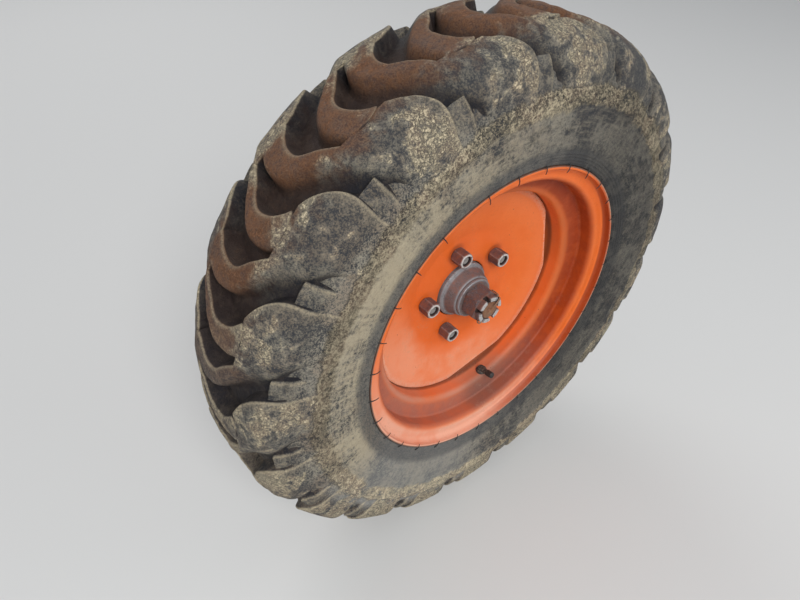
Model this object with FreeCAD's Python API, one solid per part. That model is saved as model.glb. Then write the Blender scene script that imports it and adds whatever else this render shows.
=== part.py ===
import FreeCAD, Part
import math
import os
from FreeCAD import Vector

# Driven wheel of a small site dumper on the outer end of its axle.
# The wheel turns about the Y axis. -Y points outboard, away from the machine, and +Z up.
# The origin is the centre of the face by which the axle arm bolts to the axle case.
# All sizes are in millimetres and all angles in degrees.

# Axle arm, a casting with a bolting flange at each end
arm_length = 184.0
arm_tube_r = 41.0
arm_root_r = 52.0
case_flange_margin = 18.0
case_flange_thick = 16.0
case_bolt_circle_r = 90.0
case_bolt_count = 8
case_bolt_hole_r = 6.6
first_case_bolt_angle = 22.5
spigot_r = 65.0
spigot_height = 6.0
rib_count = 4
rib_thick = 12.0
rib_reach = 70.0
rib_foot_margin = 26.0
first_rib_angle = 45.0
bearing_housing_wall = 8.5
bearing_housing_length = 33.0
grease_space = 7.0
brake_flange_thick = 14.0
brake_bolt_clearance = 10.0
brake_flange_margin = 12.0
brake_bolt_count = 6
brake_bolt_r = 5.0
brake_bolt_head_af = 17.0
brake_bolt_head_height = 7.0
first_brake_bolt_angle = 30.0

# Wheel bearing and the cover that holds it in the arm
bearing_r = 42.5
bearing_width = 25.0
bearing_ring = 3.5
seal_depth = 0.6
cover_thick = 7.0
cover_bevel = 2.0

# Brake back plate with its hydraulic cylinder
plate_thick = 3.0
plate_step_margin = 2.5
plate_step = 8.0
plate_lip_width = 12.0
cylinder_r = 14.0
cylinder_boss_height = 12.0
cylinder_depth = 14.0
cylinder_clearance = 3.5
inlet_af = 11.0
inlet_height = 14.0
bleeder_af = 8.0
bleeder_hex_height = 7.0
bleeder_tip_r = 3.0
bleeder_height = 16.0
inlet_offset = 5.0
bleeder_offset = 8.0
inspection_hole_r = 8.0

# Brake drum
drum_r = 124.0
drum_wall = 9.0
drum_web = 6.0
drum_lip_r = 131.0
drum_lip_width = 12.0
drum_corner = 8.0

# Hub casting with its nose
hub_flange_r = 88.0
hub_flange_thick = 14.0
hub_standoff = 54.0
hub_pilot_r = 44.0
hub_pilot_chamfer = 3.0
hub_pilot_length = 19.0
nose_root_r = 39.5
nose_end_r = 33.0
nose_length = 37.0
hub_barrel_r = 34.0
hub_barrel_length = 30.0
hub_barrel_fillet = 12.0
hub_taper_small_r = 17.0
hub_taper_large_r = 22.0

# Half shaft
shaft_thread_r = 15.0
shaft_journal_r = 25.0
shaft_body_r = 19.0
shaft_stub = 62.0
spline_length = 46.0
spline_count = 12
spline_tip_r = 19.0
spline_root_r = 16.5
spline_run_out = 4.0
thread_tip_chamfer = 2.0

# Washer, castle nut and split pin on the end of the half shaft
washer_r = 31.0
washer_thick = 5.0
castle_af = 46.0
castle_hex_height = 24.0
castle_crown_height = 9.0
castle_crown_r = 21.0
castle_slot_width = 7.0
castle_slot_count = 6
castle_corner_angle = 16.0
castle_bevel = 2.0
split_pin_r = 2.6
split_pin_eye_r = 3.2
split_pin_eye_wire_r = 1.3
split_pin_leg = 12.0
split_pin_leg_thick = 2.2
split_pin_leg_width = 4.0
split_pin_angle = 46.0

# Studs and wheel nuts
stud_count = 5
stud_circle_r = 70.0
stud_r = 7.0
stud_head_r = 11.0
stud_head_height = 6.0
first_stud_angle = 31.5
wheel_nut_af = 22.0
wheel_nut_height = 21.0
wheel_nut_seat = 4.0
stud_recess = 3.0
wheel_nut_chamfer = 3.0

# Pressed wheel disc
disc_thick = 8.0
disc_bore_r = 47.0
disc_land_r = 93.0
disc_edge_width = 9.7
disc_dish = 14.5
disc_flat_depth = 9.2
disc_flat_count = 4
first_flat_angle = 12.0
wheel_inset = 7.0

# Rolled drop-centre rim, 5.5 inches wide and 16 inches across the bead seats
rim_sheet = 4.0
rim_seat_r = 202.8
rim_flange_height = 22.2
rim_well_depth = 28.8
rim_overall = 170.0
rim_flange_lip = 14.0
rim_seat_width = 24.0
rim_well_slope = 8.0
rim_flange_round = 9.0
rim_corner_round = 6.0

# Tyre valve, which leans out of the side of the rim well
valve_angle = -78.5
valve_inboard = 50.0
valve_lean = 14.0
valve_hole_r = 5.7
valve_stem_r = 3.9
valve_foot_r = 9.0
valve_foot_height = 8.0
valve_stem_length = 20.0
valve_cap_r = 5.2
valve_cap_length = 13.0
valve_cap_overlap = 6.0

# Tyre carcass and its lugs
tyre_r = 384.5
tread_half_width = 92.0
shoulder_drop = 54.5
tread_fullness = 2.58
sidewall_half_width = 94.5
sidewall_drop = 84.5
sidewall_wall = 11.0
bead_lap = 5.0
bead_width = 4.0
bead_height = 14.0
crown_wall = 14.0
lug_height = 22.0
shoulder_lug_height = 7.0
lug_count = 19
first_lug_angle = 111.8
lug_foot_drop = 24.0
lug_foot_proud = 1.5
lug_sink = 4.0
tread_bend = 66.0
crown_half_width = 28.0
air_half_width = 60.0
facet_count = 2 * lug_count

# Sections across an outboard lug, from its shoulder to its nose past the middle of the tread.
# Each row holds the distance from the mid-plane, negative past it, and then, in degrees round
# the tyre from the lug's corner on the shoulder, the leading edge of its top, the trailing edge
# of its top, and how much further its leading and trailing flanks reach at their foot.
lug_sections = [
    (92.0, 0.2, 11.0, 0.5, 1.8),
    (tread_bend, 1.2, 12.9, 0.6, 5.0),
    (44.5, 5.6, 16.4, 0.3, 3.8),
    (43.3, 14.6, 16.8, 0.0, 3.6),
    (-14.0, 19.4, 23.8, 0.6, 1.4),
    (-42.0, 16.4, 22.8, 0.3, 0.6)]

# Fits
running_gap = 0.05
seat_gap = 0.3
moving_gap = 5.0

# Sizes that follow from those above
case_flange_r = case_bolt_circle_r + case_flange_margin
bearing_housing_r = bearing_r + bearing_housing_wall
brake_bolt_circle_r = bearing_housing_r + brake_bolt_clearance
brake_flange_r = brake_bolt_circle_r + brake_flange_margin
cylinder_place_r = brake_flange_r + cylinder_clearance + cylinder_r
plate_step_r = cylinder_place_r + cylinder_r + plate_step_margin
rim_lip_r = rim_seat_r + rim_flange_height
rim_well_r = rim_seat_r - rim_well_depth
disc_edge_r = rim_well_r - rim_sheet - seat_gap
shoulder_r = tyre_r - shoulder_drop
sidewall_r = tyre_r - sidewall_drop
lug_foot_r = shoulder_r - lug_foot_drop

# Places along the axle, worked out from the sizes
brake_face_y = -arm_length
hub_back_y = brake_face_y - hub_standoff
hub_face_y = hub_back_y - hub_flange_thick
disc_back_y = hub_face_y - drum_web
disc_face_y = disc_back_y - disc_thick
nose_end_y = hub_face_y - nose_length
castle_seat_y = nose_end_y - washer_thick
castle_crown_y = castle_seat_y - castle_hex_height
castle_end_y = castle_crown_y - castle_crown_height
wheel_mid_y = disc_back_y - wheel_inset
lip_y = wheel_mid_y - rim_overall / 2
drum_open_y = brake_face_y - plate_step - plate_thick - moving_gap
stud_end_y = disc_face_y - wheel_nut_height + stud_recess


def polar(radius, angle, y):
    """A point at a radius and an angle about the axle, 0 at +X and 90 at +Z."""
    turn = math.radians(angle)
    return Vector(radius * math.cos(turn), y, radius * math.sin(turn))


def rod(radius, y_from, y_to, x=0.0, z=0.0):
    """A round bar along the axle from one place to another."""
    low = min(y_from, y_to)
    return Part.makeCylinder(radius, abs(y_to - y_from), Vector(x, low, z), Vector(0, 1, 0))


def cone(radius_from, radius_to, y_from, y_to, x=0.0, z=0.0):
    """A tapered bar along the axle, with the radius at each end."""
    way = Vector(0, 1, 0) if y_to > y_from else Vector(0, -1, 0)
    return Part.makeCone(radius_from, radius_to, abs(y_to - y_from), Vector(x, y_from, z), way)


def turned(profile):
    """A solid of revolution about the axle from (y, radius) corners."""
    points = [Vector(0, y, radius) for y, radius in profile]
    face = Part.Face(Part.makePolygon(points + points[:1]))
    return face.revolve(Vector(0, 0, 0), Vector(0, 1, 0), 360)


def hexagon(across_flats, y_from, y_to, x=0.0, z=0.0, turn=0.0):
    """A hexagonal bar along the axle."""
    corner_r = across_flats / math.sqrt(3)
    corners = [polar(corner_r, turn + 60 * side, y_from) for side in range(6)]
    outline = Part.makePolygon(corners + corners[:1])
    bar = Part.Face(outline).extrude(Vector(0, y_to - y_from, 0))
    bar.translate(Vector(x, 0, z))
    return bar


def around(shape, count, first=0.0):
    """Copies of a shape spaced evenly about the axle."""
    copies = []
    for place in range(count):
        copy = shape.copy()
        copy.rotate(Vector(0, 0, 0), Vector(0, 1, 0), -(first + 360.0 * place / count))
        copies.append(copy)
    return copies


def save(shape, name):
    """Writes one sub-part."""
    shape.exportStep("parts/" + name + ".step")


def rounded_path(points, radii):
    """Edges through (y, radius) points, with a tangent arc of its own radius at each inner corner."""
    flat = [Vector(0, y, r) for y, r in points]
    edges = []
    start = flat[0]
    for corner, before, after, radius in zip(flat[1:-1], flat[:-2], flat[2:], radii):
        to_before = (before - corner).normalize()
        to_after = (after - corner).normalize()
        half = to_before.getAngle(to_after) / 2
        back = radius / math.tan(half)
        middle = (to_before + to_after).normalize() * (radius / math.sin(half) - radius)
        arc_start = corner + to_before * back
        arc_end = corner + to_after * back
        edges.append(Part.LineSegment(start, arc_start).toShape())
        edges.append(Part.Arc(arc_start, corner + middle, arc_end).toShape())
        start = arc_end
    edges.append(Part.LineSegment(start, flat[-1]).toShape())
    return edges


def shifted(points, distance):
    """The same open run of (y, radius) points moved sideways, to its left where that is positive."""
    moved = []
    for place, point in enumerate(points):
        directions = []
        if place > 0:
            directions.append(unit(points[place - 1], point))
        if place < len(points) - 1:
            directions.append(unit(point, points[place + 1]))
        normal_y = -sum(d[1] for d in directions) / len(directions)
        normal_r = sum(d[0] for d in directions) / len(directions)
        size2 = normal_y ** 2 + normal_r ** 2
        moved.append((point[0] + distance * normal_y / size2, point[1] + distance * normal_r / size2))
    return moved


def unit(start, end):
    """The direction from one (y, radius) point to another."""
    dy = end[0] - start[0]
    dr = end[1] - start[1]
    size = math.hypot(dy, dr)
    return (dy / size, dr / size)


def turn_side(before, corner, after):
    """+1 where a run of points turns left at a corner, -1 where it turns right."""
    first = unit(before, corner)
    second = unit(corner, after)
    return 1 if first[0] * second[1] - first[1] * second[0] > 0 else -1


def strip(points, radii, thick):
    """A face of even thickness along a run of (y, radius) points, its bends concentric."""
    sides = [turn_side(*trio) for trio in zip(points[:-2], points[1:-1], points[2:])]
    left_radii = [r - side * thick / 2 for r, side in zip(radii, sides)]
    right_radii = [r + side * thick / 2 for r, side in zip(radii, sides)]
    left = rounded_path(shifted(points, thick / 2), left_radii)
    right = rounded_path(shifted(points, -thick / 2), right_radii)
    first_end = Part.LineSegment(right[0].Vertexes[0].Point, left[0].Vertexes[0].Point).toShape()
    last_end = Part.LineSegment(left[-1].Vertexes[-1].Point, right[-1].Vertexes[-1].Point).toShape()
    edges = Part.__sortEdges__(left + [last_end] + right + [first_end])
    return Part.Face(Part.Wire(edges))


def make_axle_arm():
    """Tube with a bolting flange at each end, ribs, a locating spigot and the bearing seat."""
    flange_y = -case_flange_thick
    brake_y = brake_face_y + brake_flange_thick
    housing_y = brake_face_y + bearing_housing_length
    taper = bearing_housing_r - arm_tube_r
    body = turned([
        (0, 0), (0, case_flange_r), (flange_y, case_flange_r), (flange_y, arm_root_r),
        (flange_y - rib_reach, arm_tube_r), (housing_y + taper, arm_tube_r), (housing_y, bearing_housing_r),
        (brake_y, bearing_housing_r), (brake_y, brake_flange_r), (brake_face_y, brake_flange_r),
        (brake_face_y, 0)])
    body = body.fuse(rod(spigot_r, 0, spigot_height))
    rib = Part.makePolygon([
        Vector(0, flange_y, 0), Vector(0, flange_y, case_flange_r - rib_foot_margin),
        Vector(0, flange_y - rib_reach, arm_tube_r - 2), Vector(0, flange_y - rib_reach, 0),
        Vector(0, flange_y, 0)])
    rib = Part.Face(rib).extrude(Vector(rib_thick, 0, 0))
    rib.translate(Vector(-rib_thick / 2, 0, 0))
    body = body.fuse(around(rib, rib_count, first_rib_angle))
    hole = rod(case_bolt_hole_r, 0, flange_y - 1, 0, case_bolt_circle_r)
    small = rod(brake_bolt_r + 0.3, brake_face_y, brake_y, 0, brake_bolt_circle_r)
    cuts = around(hole, case_bolt_count, first_case_bolt_angle)
    cuts += around(small, brake_bolt_count, first_brake_bolt_angle)
    seat_end_y = brake_face_y + bearing_width
    cuts.append(rod(shaft_body_r + moving_gap, brake_face_y, spigot_height))
    cuts.append(rod(shaft_journal_r + moving_gap, brake_face_y, seat_end_y + grease_space))
    cuts.append(rod(bearing_r, brake_face_y, seat_end_y))
    return body.cut(cuts).removeSplitter()


def make_bearing():
    """Ball bearing, drawn as its two rings and the seals between them in one."""
    inner = shaft_journal_r + running_gap
    seal_y = brake_face_y + seal_depth
    back_y = brake_face_y + bearing_width
    low = inner + bearing_ring
    high = bearing_r - bearing_ring
    return turned([
        (brake_face_y, inner), (brake_face_y, low), (seal_y, low), (seal_y, high),
        (brake_face_y, high), (brake_face_y, bearing_r), (back_y, bearing_r), (back_y, inner)])


def make_back_plate():
    """Sheet steel plate behind the drum, stepped towards it and turned over at its edge."""
    inner_r = bearing_r
    flat_y = brake_face_y
    open_y = flat_y - plate_step
    edge_r = drum_lip_r + moving_gap + plate_thick / 2
    run = [
        (flat_y - plate_thick / 2, inner_r), (flat_y - plate_thick / 2, plate_step_r),
        (open_y - plate_thick / 2, plate_step_r + plate_step),
        (open_y - plate_thick / 2, edge_r), (open_y - plate_thick / 2 - plate_lip_width, edge_r)]
    plate = strip(run, [4.0, 4.0, 3.0], plate_thick)
    plate = plate.revolve(Vector(0, 0, 0), Vector(0, 1, 0), 360)
    bolt = rod(brake_bolt_r + 0.3, flat_y, flat_y - plate_thick, 0, brake_bolt_circle_r)
    window = rod(inspection_hole_r, flat_y, flat_y - plate_thick, 0, -cylinder_place_r)
    port = rod(cylinder_r, flat_y, flat_y - plate_thick, 0, cylinder_place_r)
    return plate.cut(around(bolt, brake_bolt_count, first_brake_bolt_angle) + [window, port])


def outward(shape):
    """A solid whose faces point outwards."""
    if shape.Volume < 0:
        shape.reverse()
    return shape


def faceted_ring(section, sides, first_angle):
    """A ring of flat sides about the axle from the (offset from mid-plane, radius) corners of a section."""
    rows = []
    for side in range(sides):
        angle = first_angle + 360.0 * side / sides
        rows.append([polar(radius, angle, wheel_mid_y - offset) for offset, radius in section])
    faces = []
    for near, far in zip(rows, rows[1:] + rows[:1]):
        for place in range(len(section)):
            before = place - 1
            corners = [near[before], near[place], far[place], far[before]]
            faces.append(Part.Face(Part.makePolygon(corners + corners[:1])))
    return outward(Part.Solid(Part.Shell(faces)))


def faceted(rows):
    """A closed solid of flat triangles between rows of four corners."""
    faces = []
    for near, far in zip(rows[:-1], rows[1:]):
        for place in range(4):
            after = (place + 1) % 4
            faces.append(triangle(near[place], far[place], far[after]))
            faces.append(triangle(near[place], far[after], near[after]))
    for row in (rows[0], rows[-1]):
        faces.append(triangle(row[0], row[1], row[2]))
        faces.append(triangle(row[0], row[2], row[3]))
    return outward(Part.Solid(Part.Shell(faces)))


def triangle(first, second, third):
    """A flat three-cornered face."""
    return Part.Face(Part.makePolygon([first, second, third, first]))


def mirrored_ends(half):
    """A run of (offset, radius) points from the bead to near the crown, carried over to the other bead."""
    return half + [(-offset, radius) for offset, radius in reversed(half)]


def tread_radius(offset, half_width, crown_r):
    """Radius of a curve fuller than an ellipse that falls from the crown to the shoulder's radius."""
    reach = min(1.0, abs(offset) / half_width)
    return shoulder_r + (crown_r - shoulder_r) * (1 - reach ** tread_fullness) ** (1 / tread_fullness)


def root_point(offset, sink=0.0):
    """Where the foot of a lug stands below a place on the lug's top, sunk into the carcass if asked."""
    root_half_width = tread_half_width - shoulder_lug_height
    root_offset = offset * root_half_width / tread_half_width
    radius = tread_radius(root_offset, root_half_width, tyre_r - lug_height)
    return (root_offset * (1 - sink / root_half_width), radius - sink)


def make_carcass():
    """Hollow carcass from bead to bead, as a ring of flat sides, with the air space cut out of it."""
    round_gain = 1 / math.cos(math.pi / facet_count)
    half = rim_overall / 2
    seat_r = (rim_seat_r + seat_gap) * round_gain
    toe = half - rim_flange_lip - rim_seat_width
    heel = half - rim_flange_lip - rim_sheet / 2 - seat_gap
    arc_rest = (rim_flange_round + rim_sheet / 2) * (1 - math.tan(math.radians(22.5)))
    flange_top_r = (rim_lip_r + seat_gap) * round_gain
    outer = [
        (toe, seat_r), (heel - rim_corner_round, seat_r), (heel, flange_top_r - arc_rest),
        (heel + arc_rest, flange_top_r), (half - 1, flange_top_r + 1),
        (sidewall_half_width - 4, (rim_lip_r + sidewall_r) / 2), (sidewall_half_width, sidewall_r)]
    outer += [root_point(offset) for offset in (tread_half_width, tread_bend, crown_half_width)]
    inner = [
        (toe - bead_lap, rim_seat_r - bead_lap), (toe + bead_width, rim_seat_r + bead_height),
        (sidewall_half_width - sidewall_wall, sidewall_r),
        (air_half_width, tyre_r - lug_height - crown_wall)]
    solid = faceted_ring(mirrored_ends(outer), facet_count, first_lug_angle)
    air = faceted_ring(mirrored_ends(inner), lug_count, first_lug_angle)
    return solid.cut(air)


def lug_rows(side, start_angle):
    """Four corners for each section of a lug: foot and top of its leading and trailing flanks."""
    proud = sidewall_half_width + lug_foot_proud
    first = lug_sections[0]
    places = [((proud, lug_foot_r), (proud - lug_foot_proud - lug_sink, lug_foot_r), first[1:])]
    for offset, *angles in lug_sections:
        top = (offset, tread_radius(offset, tread_half_width, tyre_r))
        places.append((top, root_point(offset, lug_sink), angles))
    rows = []
    for top, root, (lead, trail, lead_flank, trail_flank) in places:
        y_top = wheel_mid_y - side * top[0]
        y_root = wheel_mid_y - side * root[0]
        rows.append([
            polar(root[1], start_angle + lead - lead_flank, y_root),
            polar(top[1], start_angle + lead, y_top),
            polar(top[1], start_angle + trail, y_top),
            polar(root[1], start_angle + trail + trail_flank, y_root)])
    return rows


def make_tyre():
    """Carcass with both rows of lugs, the inboard row half a pitch round from the outboard one."""
    pitch = 360.0 / lug_count
    lugs = []
    for number in range(lug_count):
        for side, shift in ((1, 0.0), (-1, 0.5)):
            start = first_lug_angle + (number + shift) * pitch
            lugs.append(faceted(lug_rows(side, start)))
    return make_carcass().fuse(lugs)


def make_rim():
    """Rolled rim with its lips, bead seats and drop centre, and the hole for the valve."""
    half = rim_overall / 2
    seat_mid = rim_seat_r - rim_sheet / 2
    well_mid = rim_well_r - rim_sheet / 2
    lip_mid = rim_lip_r - rim_sheet / 2
    seat_end = half - rim_flange_lip - rim_seat_width
    half_run = [
        (half, lip_mid), (half - rim_flange_lip, lip_mid), (half - rim_flange_lip, seat_mid),
        (seat_end, seat_mid), (seat_end - rim_well_slope, well_mid)]
    run = [(wheel_mid_y - offset, radius) for offset, radius in half_run]
    run += [(wheel_mid_y + offset, radius) for offset, radius in reversed(half_run)]
    half_radii = [rim_flange_round, rim_corner_round, rim_corner_round, rim_corner_round]
    face = strip(run, half_radii + half_radii[::-1], rim_sheet)
    rim = face.revolve(Vector(0, 0, 0), Vector(0, 1, 0), 360)
    foot, inward, _ = valve_line()
    hole = Part.makeCylinder(valve_hole_r, 3 * rim_sheet, foot - inward * 2 * rim_sheet, inward)
    return rim.cut(hole)


def valve_line():
    """Where the valve stands on the rim well, the way towards the axle, and the way its stem points."""
    foot = polar(rim_well_r - rim_sheet - seat_gap, valve_angle, lip_y + valve_inboard)
    lean = math.radians(valve_lean)
    inward = Vector(-foot.x, 0, -foot.z).normalize()
    return foot, inward, Vector(0, -1, 0) * math.cos(lean) + inward * math.sin(lean)


def make_disc():
    """Dished disc with flats on its edge, its bore, and coned seats for the nuts."""
    face = [
        (disc_face_y, disc_bore_r), (disc_face_y, disc_land_r),
        (disc_face_y - disc_dish, disc_edge_r - disc_edge_width), (disc_face_y - disc_dish, disc_edge_r)]
    back = [(y + disc_thick, radius) for y, radius in reversed(face)]
    disc = turned(face + back)
    flat = Part.makeBox(
        rim_well_r, disc_dish + 2 * disc_thick, 2 * rim_well_r,
        Vector(disc_edge_r - disc_flat_depth, disc_face_y - disc_dish - disc_thick / 2, -rim_well_r))
    seat = cone(wheel_nut_af / 2 - 0.5, stud_r + 1.2, disc_face_y - 0.01, disc_face_y + wheel_nut_seat)
    hole = seat.fuse(rod(stud_r + 1.2, disc_face_y, disc_back_y))
    hole.translate(Vector(stud_circle_r, 0, 0))
    cuts = around(flat, disc_flat_count, first_flat_angle) + around(hole, stud_count, first_stud_angle)
    return disc.cut(cuts)


def make_drum():
    """Brake drum clamped between the disc and the hub flange."""
    lip_start_y = drum_open_y - drum_lip_width
    inner_r = drum_r - drum_wall
    bore_r = hub_pilot_r + running_gap
    drum = turned([
        (disc_back_y, bore_r), (disc_back_y, drum_r - drum_corner), (disc_back_y + drum_corner, drum_r),
        (lip_start_y, drum_r), (lip_start_y, drum_lip_r), (drum_open_y, drum_lip_r),
        (drum_open_y, inner_r), (hub_face_y, inner_r), (hub_face_y, bore_r)])
    hole = rod(stud_r + 0.6, disc_back_y, hub_face_y)
    hole.translate(Vector(stud_circle_r, 0, 0))
    return drum.cut(around(hole, stud_count, first_stud_angle))


def make_hub():
    """Hub casting: flange, pilot, tapering nose, short barrel and tapered bore."""
    pilot_end_y = hub_face_y - hub_pilot_length
    barrel_end_y = hub_back_y + hub_barrel_length
    hub = turned([
        (nose_end_y, 0), (nose_end_y, nose_end_r), (pilot_end_y, nose_root_r),
        (pilot_end_y, hub_pilot_r - hub_pilot_chamfer), (pilot_end_y + hub_pilot_chamfer, hub_pilot_r),
        (hub_face_y, hub_pilot_r), (hub_face_y, hub_flange_r), (hub_back_y, hub_flange_r),
        (hub_back_y, hub_barrel_r + hub_barrel_fillet),
        (hub_back_y + hub_barrel_fillet, hub_barrel_r), (barrel_end_y, hub_barrel_r),
        (barrel_end_y, 0)])
    bore = cone(hub_taper_small_r + running_gap, hub_taper_large_r + running_gap, nose_end_y, barrel_end_y)
    hole = rod(stud_r + running_gap, hub_face_y, hub_back_y)
    hole.translate(Vector(stud_circle_r, 0, 0))
    return hub.cut([bore] + around(hole, stud_count, first_stud_angle))


def make_half_shaft():
    """Half shaft: threaded end, taper for the hub, bearing journal and splined inner end."""
    barrel_end_y = hub_back_y + hub_barrel_length
    journal_end_y = brake_face_y + bearing_width
    spline_start_y = shaft_stub - spline_length
    end_y = castle_end_y + 1
    shaft = turned([
        (end_y, 0), (end_y, shaft_thread_r - thread_tip_chamfer),
        (end_y + thread_tip_chamfer, shaft_thread_r), (nose_end_y, shaft_thread_r),
        (nose_end_y, hub_taper_small_r), (barrel_end_y, hub_taper_large_r),
        (barrel_end_y, shaft_journal_r), (journal_end_y, shaft_journal_r),
        (journal_end_y + 6, shaft_body_r), (spline_start_y, shaft_body_r),
        (spline_start_y + 3, spline_root_r), (shaft_stub, spline_root_r), (shaft_stub, 0)])
    tooth_width = math.pi * spline_root_r / spline_count
    height = spline_tip_r - spline_root_r + 1.0
    tooth = Part.makeBox(
        tooth_width, spline_length - spline_run_out, height,
        Vector(-tooth_width / 2, spline_start_y + spline_run_out, spline_tip_r - height))
    shaft = shaft.fuse(around(tooth, spline_count))
    pin_y = castle_end_y + castle_crown_height / 2
    reach = 2 * shaft_thread_r
    hole = Part.makeCylinder(split_pin_r + seat_gap, 2 * reach, Vector(-reach, pin_y, 0), Vector(1, 0, 0))
    return shaft.cut(around(hole, 1, split_pin_angle))


def make_studs():
    """Five studs with their heads behind the hub flange."""
    stud = rod(stud_r, stud_end_y, hub_back_y)
    stud = stud.fuse(rod(stud_head_r, hub_back_y, hub_back_y + stud_head_height))
    stud.translate(Vector(stud_circle_r, 0, 0))
    return Part.makeCompound(around(stud, stud_count, first_stud_angle))


def make_wheel_nut(number):
    """Wheel nut with a coned foot in the disc and a chamfered outer end."""
    outer_y = disc_face_y - wheel_nut_height
    nut = hexagon(wheel_nut_af, disc_face_y, outer_y)
    corner_r = wheel_nut_af / math.sqrt(3)
    shell = turned([
        (disc_face_y, 0), (disc_face_y, corner_r), (outer_y + wheel_nut_chamfer, corner_r),
        (outer_y, wheel_nut_af / 2 - 1.0), (outer_y, 0)])
    nut = nut.common(shell)
    foot = cone(wheel_nut_af / 2 - 0.7, stud_r + 1.0, disc_face_y, disc_face_y + wheel_nut_seat)
    nut = nut.fuse(foot).cut(rod(stud_r + running_gap, outer_y, disc_face_y + wheel_nut_seat))
    nut.translate(Vector(stud_circle_r, 0, 0))
    return around(nut, 1, first_stud_angle + 360.0 * number / stud_count)[0]


def make_washer():
    """Thick washer between the hub nose and the castle nut."""
    bevel = 1.0
    return turned([
        (nose_end_y, shaft_thread_r + 0.5), (nose_end_y, washer_r),
        (castle_seat_y + bevel, washer_r), (castle_seat_y, washer_r - bevel),
        (castle_seat_y, shaft_thread_r + 0.5)])


def make_castle_nut():
    """Castle nut: hexagon, round crown and six slots for the split pin."""
    corner_r = castle_af / math.sqrt(3)
    flat_r = castle_af / 2
    nut = hexagon(castle_af, castle_seat_y, castle_crown_y, turn=castle_corner_angle)
    shell = turned([
        (castle_seat_y, 0), (castle_seat_y, flat_r), (castle_seat_y - castle_bevel, corner_r),
        (castle_crown_y + castle_bevel, corner_r), (castle_crown_y, flat_r), (castle_crown_y, 0)])
    nut = nut.common(shell)
    nut = nut.fuse(turned([
        (castle_crown_y, 0), (castle_crown_y, castle_crown_r), (castle_end_y + 1, castle_crown_r),
        (castle_end_y, castle_crown_r - 1), (castle_end_y, 0)]))
    slot = Part.makeBox(
        castle_crown_r + 2, castle_crown_height, castle_slot_width,
        Vector(0, castle_end_y, -castle_slot_width / 2))
    cuts = around(slot, castle_slot_count, castle_corner_angle + 180.0 / castle_slot_count)
    cuts.append(rod(shaft_thread_r + running_gap, castle_end_y, castle_seat_y))
    return nut.cut(cuts)


def make_split_pin():
    """Split pin: eye in one slot, one leg bent back along the nut and the other over the shaft's end."""
    pin_y = castle_end_y + castle_crown_height / 2
    thick = split_pin_leg_thick
    width = split_pin_leg_width
    eye_x = -castle_crown_r
    outer_x = castle_af / 2 + seat_gap
    over_y = castle_end_y - seat_gap - thick
    shank_start = eye_x + split_pin_eye_r
    shank_length = outer_x + thick - shank_start
    over_x = shaft_thread_r / 2
    shank = Part.makeCylinder(split_pin_r, shank_length, Vector(shank_start, pin_y, 0), Vector(1, 0, 0))
    eye = Part.makeTorus(split_pin_eye_r, split_pin_eye_wire_r, Vector(eye_x, pin_y, 0), Vector(0, 0, 1))
    back_leg = Part.makeBox(thick, split_pin_leg, width, Vector(outer_x, pin_y, -width / 2))
    riser = Part.makeBox(thick, pin_y - over_y, width, Vector(outer_x, over_y, -width / 2))
    over_leg = Part.makeBox(outer_x - over_x, thick, width, Vector(over_x, over_y, -width / 2))
    pin = shank.fuse([eye, back_leg, riser, over_leg])
    return around(pin, 1, split_pin_angle)[0]


def make_valve_stem():
    """Rubber foot and metal stem of the tyre valve."""
    foot, inward, way = valve_line()
    barrel_r = valve_hole_r - seat_gap
    base = Part.makeCone(valve_foot_r, barrel_r, valve_foot_height, foot, inward)
    barrel = Part.makeCylinder(barrel_r, 2 * rim_sheet, foot - inward * 2 * rim_sheet, inward)
    bend = foot + inward * (valve_foot_height - valve_stem_r)
    stem = Part.makeCylinder(valve_stem_r, valve_stem_length, bend, way)
    return base.fuse([barrel, stem])


def make_valve_cap():
    """Round cap on the end of the valve."""
    foot, inward, way = valve_line()
    bend = foot + inward * (valve_foot_height - valve_stem_r)
    start = bend + way * (valve_stem_length - valve_cap_overlap)
    cap = Part.makeCylinder(valve_cap_r, valve_cap_length, start, way)
    return cap.cut(Part.makeCylinder(valve_stem_r + running_gap, valve_cap_overlap, start, way))


def make_bearing_cover():
    """Ring that closes the bearing, bolted through the back plate."""
    inner_y = brake_face_y - plate_thick
    outer_y = inner_y - cover_thick
    bore_r = shaft_journal_r + moving_gap
    lip_r = bearing_r - seat_gap
    cover = turned([
        (brake_face_y, bore_r), (brake_face_y, lip_r), (inner_y, lip_r), (inner_y, brake_flange_r),
        (outer_y, brake_flange_r - cover_bevel), (outer_y, bore_r)])
    bolt = rod(brake_bolt_r + 0.3, inner_y, inner_y - cover_thick, 0, brake_bolt_circle_r)
    return cover.cut(around(bolt, brake_bolt_count, first_brake_bolt_angle))


def make_brake_bolts():
    """Six bolts with nuts that hold the cover and the back plate on the arm."""
    head_y = brake_face_y + brake_flange_thick
    nut_y = brake_face_y - plate_thick - cover_thick
    bolt = rod(brake_bolt_r, nut_y - brake_bolt_head_height - 2, head_y)
    bolt = bolt.fuse(hexagon(brake_bolt_head_af, head_y, head_y + brake_bolt_head_height))
    bolt = bolt.fuse(hexagon(brake_bolt_head_af, nut_y, nut_y - brake_bolt_head_height))
    bolt.translate(Vector(0, 0, brake_bolt_circle_r))
    return Part.makeCompound(around(bolt, brake_bolt_count, first_brake_bolt_angle))


def make_brake_cylinder():
    """Back of the brake's hydraulic cylinder, with its inlet."""
    start_y = brake_face_y - plate_thick - cylinder_depth
    outer_y = brake_face_y + cylinder_boss_height
    boss = rod(cylinder_r - seat_gap, start_y, outer_y, 0, cylinder_place_r)
    inlet = hexagon(inlet_af, outer_y, outer_y + inlet_height, -inlet_offset, cylinder_place_r)
    return boss.fuse(inlet)


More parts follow.
